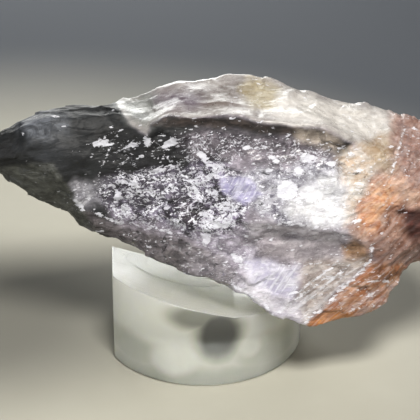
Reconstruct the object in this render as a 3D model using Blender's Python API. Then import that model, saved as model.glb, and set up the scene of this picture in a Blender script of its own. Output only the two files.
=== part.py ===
"""A shard of rough amethyst resting in the sawn cradle of a short round block of clear plastic.

Metres, +Z up. The origin is the middle of the block's round foot, +X runs along the shard
from its smoky tip to its rusty broken end, and -Y is the side of the shard's great face.
"""

import math
import random

import bmesh
import bpy
from mathutils import Vector, noise

MM = 0.001

# Stand: a length of round rod with a sawn left side, a sawn back and a sloping top.
STAND_RADIUS = 12.5
STAND_LEFT_AT_FRONT = 11.1
STAND_LEFT_AT_BACK = 11.8
STAND_BACK_AT_LEFT = 5.6
STAND_BACK_TURN = -0.1
STAND_BLANK_HEIGHT = 18.0
STAND_ARC_STEPS = 56
STAND_EDGE = 0.25
STAND_EDGE_TURN = 25.0

# The sawn top: height at the middle of the rod, fall per millimetre to the right and to the back.
SEAT_HEIGHT = 7.85
SEAT_FALL_RIGHT = 0.25
SEAT_FALL_BACK = 0.2
VALLEY_X = 3.9
REST_GAP = 0.3
REST_MARGIN = 1.2

# Shard: the lines that run along it from tip to broken end, as (x, y, z) in millimetres.
RIDGE = (
    (-26.4, 1.5, 27.2), (-24.9, 2.5, 29.2), (-21.5, 3.0, 29.7), (-19.2, 3.0, 30.4), (-16.9, 3.5, 30.8),
    (-13.7, 4.0, 30.5), (-10.8, 4.5, 31.0), (-7.1, 5.0, 31.5), (-2.8, 5.5, 32.9), (1.5, 6.0, 32.6),
    (6.2, 6.0, 33.0), (9.0, 6.0, 32.7), (12.2, 6.0, 31.4), (15.3, 5.5, 30.5), (20.0, 5.0, 29.9),
    (24.4, 4.5, 29.1), (26.9, 4.0, 28.7), (29.3, 3.5, 28.0), (33.0, 2.5, 27.0),
)
BROW = (
    (-26.4, -0.5, 26.6), (-24.9, -1.5, 28.6), (-21.5, -2.0, 29.6), (-17.5, -2.0, 30.9), (-13.7, -1.6, 31.2),
    (-10.6, -1.2, 30.9), (-8.6, -2.4, 30.2), (-6.6, -3.8, 29.9), (-4.2, -3.2, 32.0), (-1.3, -4.0, 32.0),
    (1.4, -4.0, 32.3), (4.7, -4.5, 32.6), (6.9, -5.0, 32.0), (10.7, -5.5, 31.8), (14.3, -5.5, 31.6),
    (17.6, -5.0, 29.8), (20.5, -4.5, 28.6), (23.3, -4.0, 27.6), (26.9, -3.5, 26.8), (33.0, -2.5, 24.8),
)
UNDER_BROW = (
    (-26.4, -0.9, 26.3), (-24.7, -2.4, 28.0), (-20.6, -3.2, 28.9), (-15.3, -3.0, 30.0), (-10.6, -2.4, 29.6),
    (-8.6, -3.0, 29.1), (-6.6, -3.9, 28.9), (-4.2, -3.2, 30.6), (1.4, -3.8, 30.8), (6.9, -4.7, 30.4),
    (10.7, -5.2, 30.3), (14.3, -5.4, 29.9), (18.0, -5.4, 28.2), (23.3, -5.2, 26.6), (33.0, -3.6, 24.0),
)
FACE_HIGH = (
    (-26.4, -1.2, 26.0), (-24.5, -3.0, 27.4), (-20.6, -4.0, 28.2), (-16.6, -4.6, 27.6), (-12.7, -4.0, 26.0),
    (-8.6, -4.2, 26.0), (-4.0, -4.4, 27.0), (1.4, -5.4, 27.2), (6.9, -6.6, 27.2), (10.7, -7.0, 27.0),
    (15.0, -7.2, 26.4), (20.0, -7.2, 25.0), (23.2, -6.8, 24.4), (26.9, -5.9, 23.6), (33.0, -4.6, 22.4),
)
LEDGE = (
    (-26.4, -1.2, 25.6), (-24.5, -3.4, 26.6), (-20.6, -4.6, 27.2), (-18.1, -5.0, 26.2), (-16.6, -4.8, 24.0),
    (-15.3, -4.4, 22.2), (-14.0, -3.6, 18.6), (-12.7, -3.4, 17.4), (-9.6, -4.4, 17.6), (-5.8, -5.8, 18.4),
    (-1.4, -7.6, 19.6), (1.4, -8.6, 20.4), (5.6, -10.0, 21.3), (10.5, -10.6, 21.4), (15.0, -10.4, 20.4),
    (20.1, -10.4, 18.8), (23.5, -8.8, 19.4), (26.9, -7.5, 19.4), (33.0, -5.6, 19.4),
)
LOWER = (
    (-26.4, -1.0, 25.2), (-24.9, -2.4, 25.0), (-20.0, -3.6, 23.4), (-16.6, -3.6, 21.4), (-14.0, -3.2, 17.6),
    (-12.7, -3.2, 16.9), (-9.6, -4.3, 16.4), (-5.8, -6.0, 16.4), (-1.4, -7.8, 17.2), (1.4, -8.6, 18.0),
    (5.6, -9.2, 19.0), (10.5, -9.4, 19.2), (15.0, -9.6, 18.4), (20.1, -10.2, 16.6), (24.0, -8.8, 17.0),
    (28.8, -6.8, 17.8), (33.0, -5.2, 18.2),
)
TOE = (
    (-26.4, -0.5, 24.8), (-24.9, 0.0, 22.8), (-22.1, -0.5, 20.4), (-20.0, -1.0, 19.3), (-17.2, -1.5, 18.6),
    (-15.7, -2.0, 17.4), (-12.7, -2.8, 16.2), (-9.6, -4.0, 15.1), (-5.8, -6.0, 14.2), (-1.4, -8.0, 13.3),
    (1.4, -9.5, 13.0), (3.7, -10.5, 12.5), (5.4, -11.2, 11.8), (7.5, -11.8, 10.2), (10.7, -12.2, 8.7),
    (12.9, -12.2, 7.9), (16.5, -11.2, 8.4), (20.8, -9.6, 9.8), (24.1, -7.6, 12.6), (26.3, -6.4, 13.8),
    (28.8, -5.2, 15.4), (33.0, -4.2, 16.8),
)
KEEL = (
    (-26.4, 1.5, 24.8), (-22.0, 2.0, 19.8), (-16.0, 2.5, 15.2), (-10.0, 3.0, 11.6), (-5.8, 3.0, 10.0),
    (-1.4, 3.0, 8.6), (1.4, 3.0, 7.6), (3.8, 3.0, 7.0), (7.5, 3.0, 6.8), (12.9, 2.0, 6.9),
    (16.5, 1.5, 7.6), (20.8, 1.0, 9.2), (24.1, 1.0, 12.0), (28.8, 1.0, 14.8), (33.0, 1.0, 16.6),
)
HEEL = (
    (-26.4, 2.2, 25.0), (-22.0, 5.0, 22.0), (-16.0, 6.5, 19.0), (-10.0, 7.6, 16.4), (-5.0, 8.0, 14.2),
    (0.0, 8.6, 12.4), (5.0, 9.2, 11.2), (10.0, 9.0, 11.0), (15.0, 8.4, 11.6), (20.0, 8.0, 13.0),
    (25.0, 6.4, 15.6), (33.0, 4.6, 18.6),
)
BACK = (
    (-26.4, 2.4, 25.8), (-22.0, 6.2, 26.0), (-16.0, 7.6, 25.2), (-10.0, 9.0, 24.2), (-5.0, 9.6, 23.2),
    (0.0, 10.2, 22.4), (5.0, 10.6, 22.0), (10.0, 10.4, 21.4), (15.0, 9.8, 21.2), (20.0, 9.2, 21.6),
    (25.0, 7.8, 22.0), (33.0, 5.6, 22.0),
)
CROWN = (
    (-26.4, 2.1, 26.8), (-22.0, 5.0, 28.5), (-16.0, 6.0, 29.2), (-10.0, 7.2, 29.4), (-5.0, 7.6, 30.0),
    (0.0, 8.4, 30.6), (5.0, 8.8, 30.6), (10.0, 8.4, 29.6), (15.0, 8.0, 28.6), (20.0, 7.6, 28.0),
    (25.0, 6.6, 27.0), (33.0, 4.2, 25.6),
)
# Each line with the number of faces from it to the next one round the shard.
GIRTH = (
    (RIDGE, 5), (BROW, 2), (UNDER_BROW, 3), (FACE_HIGH, 5), (LEDGE, 2), (LOWER, 6),
    (TOE, 6), (KEEL, 4), (HEEL, 4), (BACK, 4), (CROWN, 2),
)
TIP_X = -26.4
END_X = 33.0
STATIONS = 68
TIP_POINT = (-27.4, 0.9, 25.8)
END_CENTRE = (33.4, 0.2, 21.0)
END_RINGS = 3

# Broken surface: sizes of the fracture facets and how far they tilt, in millimetres.
FACET_SIZE = 4.6
FACET_TILT = 0.26
CHIP_SIZE = 1.9
CHIP_TILT = 0.20
CHIP_OFFSET = (31.0, 7.0, 3.0)
FACET_LEAN = 0.8
FACET_STEP = 0.175
LEAN_SPREAD = 7.3
LEAN_OFFSETS = ((0.0, 0.0, 0.0), (9.3, -1.5, -7.9), (-4.2, 11.6, 5.7))
STEP_SPREAD = 5.1
LUMP_SIZE = 8.0
LUMP_DEPTH = 0.45
RUST_FROM = 15.0
RUST_FADE = 9.0
RUST_ROUGHER = 1.5
PLATE_PITCH = 2.3
PLATE_STEP = 0.32
PLATE_SLOPE = 0.62
PLATE_WAVE = 1.4
PLATE_WAVE_LENGTH = 5.0

# Flat breaks struck off the hidden back and underside: how many, the ways they may face, as the
# turn up from straight back in radians and the lean along the shard, and how deep they go.
BREAK_SEED = 7
BACK_BREAKS = 20
BREAK_TURNS = (-1.25, 0.55)
BREAK_LEANS = (-0.75, 0.75)
BREAK_DEPTHS = (0.6, 2.6)
# Flat breaks at the rusty end: the way each one faces, and how deep it goes.
END_BREAKS = (
    ((0.96, -0.20, 0.20), 1.9), ((0.86, 0.32, -0.40), 2.2), ((0.84, -0.46, -0.30), 1.3),
    ((0.80, 0.50, 0.33), 1.8), ((0.90, -0.30, 0.32), 1.2),
)

AMETHYST_COLOUR = (0.46, 0.41, 0.43, 1.0)
AMETHYST_ROUGHNESS = 0.28
PLASTIC_COLOUR = (0.80, 0.80, 0.71, 1.0)
PLASTIC_ROUGHNESS = 0.16


def clear_scene():
    """Takes every object out of the scene."""
    for item in list(bpy.data.objects):
        bpy.data.objects.remove(item, do_unlink=True)


def make_material(name, colour, roughness):
    """A Principled material of one plain colour."""
    material = bpy.data.materials.new(name)
    material.use_nodes = True
    shader = material.node_tree.nodes["Principled BSDF"]
    shader.inputs["Base Color"].default_value = colour
    shader.inputs["Roughness"].default_value = roughness
    shader.inputs["Metallic"].default_value = 0.0
    return material


def add_object(name, mesh_builder, material=None):
    """Puts a bmesh, given in millimetres, into the scene as an object in metres."""
    mesh = bpy.data.meshes.new(name)
    bmesh.ops.recalc_face_normals(mesh_builder, faces=mesh_builder.faces)
    bmesh.ops.scale(mesh_builder, vec=(MM, MM, MM), verts=mesh_builder.verts)
    mesh_builder.to_mesh(mesh)
    mesh_builder.free()
    item = bpy.data.objects.new(name, mesh)
    bpy.context.scene.collection.objects.link(item)
    if material:
        mesh.materials.append(material)
    return item


def seat_height(x, y):
    """Height of the sawn top: it falls to the right as far as the valley, and then stays level."""
    return SEAT_HEIGHT - SEAT_FALL_RIGHT * min(x, VALLEY_X) - SEAT_FALL_BACK * y


def stand_back(x):
    """Where the sawn back of the stand lies at this x."""
    return STAND_BACK_AT_LEFT + STAND_BACK_TURN * (x + STAND_LEFT_AT_BACK)


def stand_outline():
    """The stand seen from above: a circle with its left side and its back sawn off."""
    front_corner = math.pi + math.acos(STAND_LEFT_AT_FRONT / STAND_RADIUS)
    rise = stand_back(0.0)
    a = 1.0 + STAND_BACK_TURN**2
    b = 2.0 * STAND_BACK_TURN * rise
    c = rise**2 - STAND_RADIUS**2
    right_x = (-b + math.sqrt(b * b - 4.0 * a * c)) / (2.0 * a)
    back_corner = math.asin(stand_back(right_x) / STAND_RADIUS) + 2.0 * math.pi
    points = []
    for step in range(STAND_ARC_STEPS + 1):
        angle = front_corner + (back_corner - front_corner) * step / STAND_ARC_STEPS
        points.append((STAND_RADIUS * math.cos(angle), STAND_RADIUS * math.sin(angle)))
    points.append((-STAND_LEFT_AT_BACK, STAND_BACK_AT_LEFT))
    return points


def make_stand(material):
    """The block, cut from its blank by one wedge with two faces."""
    blank = bmesh.new()
    corners = [blank.verts.new((x, y, 0.0)) for x, y in stand_outline()]
    foot = blank.faces.new(corners)
    raised = bmesh.ops.extrude_face_region(blank, geom=[foot])
    lifted = [part for part in raised["geom"] if isinstance(part, bmesh.types.BMVert)]
    bmesh.ops.translate(blank, vec=(0.0, 0.0, STAND_BLANK_HEIGHT), verts=lifted)
    stand = add_object("display_stand", blank, material)

    reach = STAND_RADIUS + 4.0
    top = STAND_BLANK_HEIGHT + 10.0
    wedge = bmesh.new()
    sides = []
    for y in (-reach, reach):
        profile = ((-reach, top), (-reach, None), (VALLEY_X, None), (reach, None), (reach, top))
        sides.append([
            wedge.verts.new((x, y, seat_height(x, y) if z is None else z)) for x, z in profile
        ])
    front, back = sides
    wedge.faces.new(front)
    wedge.faces.new(list(reversed(back)))
    for index in range(len(front)):
        after = (index + 1) % len(front)
        wedge.faces.new((front[after], front[index], back[index], back[after]))
    cutter = add_object("saw_cut", wedge)
    cutter.hide_render = True
    cutter.display_type = "WIRE"

    cut = stand.modifiers.new("sawn_top", "BOOLEAN")
    cut.operation = "DIFFERENCE"
    cut.solver = "EXACT"
    cut.object = cutter
    eased = stand.modifiers.new("eased_edges", "BEVEL")
    eased.width = STAND_EDGE * MM
    eased.segments = 2
    eased.limit_method = "ANGLE"
    eased.angle_limit = math.radians(STAND_EDGE_TURN)
    return stand


def on_line(line, x):
    """The point of a line along the shard at this x, straight between its own points."""
    if x <= line[0][0]:
        return Vector((x, line[0][1], line[0][2]))
    for (x0, y0, z0), (x1, y1, z1) in zip(line, line[1:]):
        if x <= x1:
            t = (x - x0) / (x1 - x0)
            return Vector((x, y0 + t * (y1 - y0), z0 + t * (z1 - z0)))
    return Vector((x, line[-1][1], line[-1][2]))


def girth_ring(x):
    """The points round the shard at this x."""
    ring = []
    for index, (line, faces) in enumerate(GIRTH):
        start = on_line(line, x)
        end = on_line(GIRTH[(index + 1) % len(GIRTH)][0], x)
        for step in range(faces):
            ring.append(start.lerp(end, step / faces))
    return ring


def facet_lean(middle):
    """The way the fracture facet about this middle leans."""
    spot = middle * LEAN_SPREAD
    return Vector([noise.noise(spot + Vector(offset)) for offset in LEAN_OFFSETS]) * FACET_LEAN


def facet_shift(point, size, tilt):
    """How far a point lies off the surface on its own flat fracture facet."""
    _, cells = noise.voronoi(point / size)
    middle = cells[0]
    height = noise.noise(middle * STEP_SPREAD) * FACET_STEP
    return (facet_lean(middle).dot(point / size - middle) + height) * tilt * size


def plate_shift(point):
    """The stepped plates of the rusty end, which climb to the right."""
    wave = noise.noise(point / PLATE_WAVE_LENGTH) * PLATE_WAVE
    along = (point.z - PLATE_SLOPE * point.x + wave) / PLATE_PITCH
    return (along - math.floor(along) - 0.5) * PLATE_STEP


def roughen(mesh_builder):
    """Breaks the smooth shard into lumps, fracture facets, chips and plates."""
    mesh_builder.normal_update()
    moves = []
    for vert in mesh_builder.verts:
        point = vert.co.copy()
        rust = min(max((point.x - RUST_FROM) / RUST_FADE, 0.0), 1.0)
        shift = noise.noise(point / LUMP_SIZE) * LUMP_DEPTH
        shift += facet_shift(point, FACET_SIZE, FACET_TILT)
        shift += facet_shift(point + Vector(CHIP_OFFSET), CHIP_SIZE, CHIP_TILT)
        shift *= 1.0 + (RUST_ROUGHER - 1.0) * rust
        shift += plate_shift(point) * rust
        moves.append((vert, point + vert.normal * shift))
    for vert, place in moves:
        vert.co = place


def strike_flat(mesh_builder, facing, depth):
    """Flattens everything that stands out this way, down to one plane."""
    facing = Vector(facing).normalized()
    outermost = max(vert.co.dot(facing) for vert in mesh_builder.verts)
    limit = outermost - depth
    for vert in mesh_builder.verts:
        over = vert.co.dot(facing) - limit
        if over > 0.0:
            vert.co -= facing * over


def strike_breaks(mesh_builder):
    """Gives the rusty end and the hidden sides their flat breaks."""
    for facing, depth in END_BREAKS:
        strike_flat(mesh_builder, facing, depth)
    dice = random.Random(BREAK_SEED)
    for _ in range(BACK_BREAKS):
        angle = dice.uniform(*BREAK_TURNS)
        lean = dice.uniform(*BREAK_LEANS)
        facing = (lean, math.cos(angle), math.sin(angle))
        strike_flat(mesh_builder, facing, dice.uniform(*BREAK_DEPTHS))


def rest_on_stand(mesh_builder):
    """Lifts the underside where it would reach into the stand, and leaves the gap of a contact."""
    reach = STAND_RADIUS + REST_MARGIN
    for vert in mesh_builder.verts:
        x, y, z = vert.co
        over = x * x + y * y < reach * reach and x > -STAND_LEFT_AT_BACK - REST_MARGIN
        if over and y < stand_back(x) + REST_MARGIN:
            vert.co.z = max(z, seat_height(x, y) + REST_GAP)


def make_amethyst(material):
    """The shard: rings of points along it, closed by a blunt tip and a rough broken end."""
    shard = bmesh.new()
    rings = []
    for station in range(STATIONS + 1):
        x = TIP_X + (END_X - TIP_X) * station / STATIONS
        rings.append([shard.verts.new(point) for point in girth_ring(x)])
    centre = Vector(END_CENTRE)
    rim = [vert.co.copy() for vert in rings[-1]]
    for step in range(1, END_RINGS + 1):
        share = step / (END_RINGS + 1)
        rings.append([shard.verts.new(point.lerp(centre, share)) for point in rim])
    for ring, following in zip(rings, rings[1:]):
        for index in range(len(ring)):
            after = (index + 1) % len(ring)
            shard.faces.new((ring[index], ring[after], following[after], following[index]))
    tip = shard.verts.new(TIP_POINT)
    end = shard.verts.new(END_CENTRE)
    for index in range(len(rings[0])):
        after = (index + 1) % len(rings[0])
        shard.faces.new((tip, rings[0][after], rings[0][index]))
        shard.faces.new((end, rings[-1][index], rings[-1][after]))
    bmesh.ops.recalc_face_normals(shard, faces=shard.faces)
    strike_breaks(shard)
    roughen(shard)
    rest_on_stand(shard)
    bmesh.ops.triangulate(shard, faces=shard.faces, quad_method="SHORT_EDGE")
    return add_object("amethyst", shard, material)


def main():
    clear_scene()
    stone = make_material("amethyst", AMETHYST_COLOUR, AMETHYST_ROUGHNESS)
    plastic = make_material("clear_plastic", PLASTIC_COLOUR, PLASTIC_ROUGHNESS)
    make_stand(plastic)
    make_amethyst(stone)


main()
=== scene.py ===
"""Dresses the rough amethyst shard and its clear plastic stand for a studio picture.

Sizes are in millimetres unless a name says otherwise. The front view is the view of the great
face from a little above: its first axis runs along the shard and its second one up the face.
"""

import itertools
import logging
import math
from dataclasses import dataclass, field
from enum import Enum
from typing import Union

import bmesh
import bpy
import numpy as np
from mathutils import Matrix, Vector


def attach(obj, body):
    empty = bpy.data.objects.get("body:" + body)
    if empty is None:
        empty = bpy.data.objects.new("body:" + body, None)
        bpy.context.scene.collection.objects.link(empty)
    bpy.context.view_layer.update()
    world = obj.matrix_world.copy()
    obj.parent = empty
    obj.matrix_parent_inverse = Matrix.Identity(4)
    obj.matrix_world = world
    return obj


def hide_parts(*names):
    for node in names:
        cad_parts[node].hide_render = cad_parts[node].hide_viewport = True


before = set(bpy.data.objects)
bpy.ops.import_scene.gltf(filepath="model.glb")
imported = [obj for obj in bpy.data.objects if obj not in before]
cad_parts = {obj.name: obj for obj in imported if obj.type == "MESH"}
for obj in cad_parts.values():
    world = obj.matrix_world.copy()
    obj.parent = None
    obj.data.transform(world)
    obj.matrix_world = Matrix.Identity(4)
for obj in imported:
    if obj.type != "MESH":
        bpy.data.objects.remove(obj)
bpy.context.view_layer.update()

MM = 0.001
LOG = logging.getLogger("amethyst")
STONE_NODE = "amethyst"
STAND_NODE = "display_stand"
BODY = "root"

Colour = tuple[float, float, float]
Point2 = tuple[float, float]
Point3 = tuple[float, float, float]
Value = Union[bpy.types.NodeSocket, float, tuple[float, ...]]


class Side(Enum):
    """Which sides of the shard a patch of colour reaches."""

    FRONT = "front"
    THROUGH = "through"


class Finish(Enum):
    """The vertex layers that carry the shard's look from its shape to its material."""

    TINT = "tint"
    CLOUD = "cloud"
    GRAIN = "grain"
    MARKS = "marks"


def linear(colour: Colour) -> np.ndarray:
    """Turns a colour given in everyday 0 to 255 steps into light values.

    Args:
        colour: Red, green and blue from 0 to 255.

    Returns:
        The three light values from 0 to 1.
    """
    share = np.asarray(colour, dtype=float) / 255.0
    return np.where(share <= 0.04045, share / 12.92, ((share + 0.055) / 1.055) ** 2.4)


def opaque(colour: Colour) -> tuple[float, float, float, float]:
    """The same colour as a shader's socket takes it."""
    return (*linear(colour), 1.0)


def smooth_step(low: float, high: float, value: np.ndarray) -> np.ndarray:
    """Rises smoothly from 0 at low to 1 at high.

    Args:
        low: Where the rise starts.
        high: Where it ends.
        value: The numbers to place on the rise.

    Returns:
        A number from 0 to 1 for each value.
    """
    share = np.clip((value - low) / (high - low), 0.0, 1.0)
    return share * share * (3.0 - 2.0 * share)


@dataclass(frozen=True)
class Grit:
    """Repeatable random fields in space, for broken stone."""

    seed: int

    def corner(self, cell: np.ndarray, salt: int = 0) -> np.ndarray:
        """Gives each whole-number place in space its own random number.

        Args:
            cell: Whole-number places, three to a row.
            salt: Picks one of several unlike sets of numbers.

        Returns:
            A number from 0 to 1 for each place.
        """
        x, y, z = (cell[..., axis].astype(np.int64).astype(np.uint64) for axis in range(3))
        mixed = x * np.uint64(0x9E3779B97F4A7C15) ^ y * np.uint64(0xC2B2AE3D27D4EB4F)
        mixed ^= z * np.uint64(0x165667B19E3779F9) ^ np.uint64(self.seed * 7919 + salt * 104729 + 1)
        mixed = (mixed ^ (mixed >> np.uint64(29))) * np.uint64(0xBF58476D1CE4E5B9)
        mixed = (mixed ^ (mixed >> np.uint64(32))) * np.uint64(0x94D049BB133111EB)
        return ((mixed >> np.uint64(40)) & np.uint64(0xFFFFFF)).astype(float) / float(0xFFFFFF)

    def swell(self, points: np.ndarray, size: float, octaves: int = 1) -> np.ndarray:
        """Soft lumps of about the given size, with finer ones on them.

        Args:
            points: Places in millimetres, three to a row.
            size: Width of the largest lumps.
            octaves: How many finer layers, each half the size and half the height.

        Returns:
            A number from about -1 to 1 for each place.
        """
        total = np.zeros(len(points))
        height, reach = 1.0, 0.0
        for octave in range(octaves):
            place = points / size + 17.3 * octave
            base = np.floor(place)
            part = place - base
            part = part * part * (3.0 - 2.0 * part)
            for corner in itertools.product((0.0, 1.0), repeat=3):
                step = np.array(corner)
                weight = np.prod(np.where(step > 0.5, part, 1.0 - part), axis=1)
                total += height * weight * (2.0 * self.corner(base + step, octave) - 1.0)
            reach += height
            height *= 0.5
            size *= 0.5
        return total / reach

    def chips(self, points: np.ndarray, size: float) -> tuple[np.ndarray, np.ndarray, np.ndarray]:
        """Splits space into unlike cells, as a fracture splits a stone.

        Args:
            points: Places in millimetres, three to a row.
            size: Mean width of a cell.

        Returns:
            The distance to the cell's middle, the way to it, and three random numbers of the cell.
        """
        place = points / size
        base = np.floor(place)
        best = np.full(len(points), 9.0)
        way = np.zeros_like(points)
        home = np.zeros_like(points)
        for corner in itertools.product((-1.0, 0.0, 1.0), repeat=3):
            cell = base + np.array(corner)
            seeds = np.stack([self.corner(cell, salt) for salt in (11, 12, 13)], axis=1)
            offset = place - (cell + seeds)
            distance = np.einsum("ij,ij->i", offset, offset)
            nearer = distance < best
            best = np.where(nearer, distance, best)
            way[nearer] = offset[nearer]
            home[nearer] = cell[nearer]
        dice = np.stack([self.corner(home, salt) for salt in (21, 22, 23)], axis=1)
        return np.sqrt(best), way, dice


@dataclass(frozen=True)
class FrontView:
    """The way the great face is looked at, which places its patches and flakes."""

    eye: Point3 = (0.9, -189.8, 114.45)
    tilt: float = math.radians(27.0)
    reach: float = 213.0

    @property
    def inward(self) -> np.ndarray:
        """The direction of looking."""
        return np.array((0.0, math.cos(self.tilt), -math.sin(self.tilt)))

    def flat(self, points: np.ndarray) -> np.ndarray:
        """Places points on the front view.

        Args:
            points: Places in millimetres, three to a row.

        Returns:
            Millimetres across and up, measured from the middle of the view.
        """
        upward = np.array((0.0, math.sin(self.tilt), math.cos(self.tilt)))
        away = points - np.array(self.eye)
        depth = away @ self.inward
        across = away[:, 0] / depth * self.reach + self.eye[0]
        up = (away @ upward) / depth * self.reach
        return np.stack([across, up], axis=1)


@dataclass(frozen=True)
class Patch:
    """One area of the shard with its own colour and grain. A few patches hold painted highlights and painted
    light.
    """

    name: str
    outline: tuple[Point2, ...]
    tone: Colour
    strength: float = 1.0
    soft: float = 0.5
    ragged: float = 0.5
    white: float | None = None
    black: float | None = None
    rough: float | None = None
    chip: float | None = None
    fibre: float | None = None
    second: Colour | None = None
    side: Side = Side.THROUGH

    @property
    def cloud_tone(self) -> np.ndarray:
        """The tone of the clouds in the patch, as light values."""
        return linear(self.second) if self.second else linear(self.tone) * 0.62

    def inside(self, places: np.ndarray) -> np.ndarray:
        """How far places on the front view lie inside the outline.

        Args:
            places: Millimetres across and up, two to a row.

        Returns:
            The distance to the outline, above 0 inside it.
        """
        corners = np.array(self.outline)
        nearest = np.full(len(places), 1e9)
        within = np.zeros(len(places), dtype=bool)
        for start, end in zip(corners, np.roll(corners, -1, axis=0)):
            edge = end - start
            offset = places - start
            share = np.clip(offset @ edge / (edge @ edge), 0.0, 1.0)
            gap = offset - share[:, None] * edge
            nearest = np.minimum(nearest, np.einsum("ij,ij->i", gap, gap))
            spans = (start[1] > places[:, 1]) != (end[1] > places[:, 1])
            rise = edge[1] if abs(edge[1]) > 1e-9 else 1e-9
            crossing = start[0] + (places[:, 1] - start[1]) / rise * edge[0]
            within ^= spans & (places[:, 0] < crossing)
        return np.where(within, 1.0, -1.0) * np.sqrt(nearest)


@dataclass(frozen=True)
class Flake:
    """One large cleavage flake on the great face, painted near white as a glint."""

    middle: Point2
    length: float
    width: float
    turn: float = 0.0

    def field(self, places: np.ndarray) -> np.ndarray:
        """A number that is 0 at the flake's rim and rises inwards.

        Args:
            places: Millimetres across and up, two to a row.

        Returns:
            About the distance inside the rim, in millimetres.
        """
        turn = math.radians(self.turn)
        offset = places - np.array(self.middle)
        along = offset[:, 0] * math.cos(turn) + offset[:, 1] * math.sin(turn)
        aside = offset[:, 1] * math.cos(turn) - offset[:, 0] * math.sin(turn)
        half = np.array((self.length, self.width)) / 2.0
        spread = np.sqrt((along / half[0]) ** 2 + (aside / half[1]) ** 2)
        return (1.0 - spread) * min(half)


@dataclass(frozen=True)
class Seam:
    """One thin bright line on the great face, such as the edge of a fracture, painted near white like the
    flakes and partly a painted edge highlight.
    """

    points: tuple[Point2, ...]
    width: float

    def field(self, places: np.ndarray) -> np.ndarray:
        """A number that is 0 at the line's rim and rises inwards.

        Args:
            places: Millimetres across and up, two to a row.

        Returns:
            The distance inside the rim, in millimetres.
        """
        nearest = np.full(len(places), 1e9)
        corners = np.array(self.points)
        for start, end in zip(corners, corners[1:]):
            edge = end - start
            offset = places - start
            share = np.clip(offset @ edge / (edge @ edge), 0.0, 1.0)
            gap = offset - share[:, None] * edge
            nearest = np.minimum(nearest, np.einsum("ij,ij->i", gap, gap))
        return self.width / 2.0 - np.sqrt(nearest)


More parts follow.
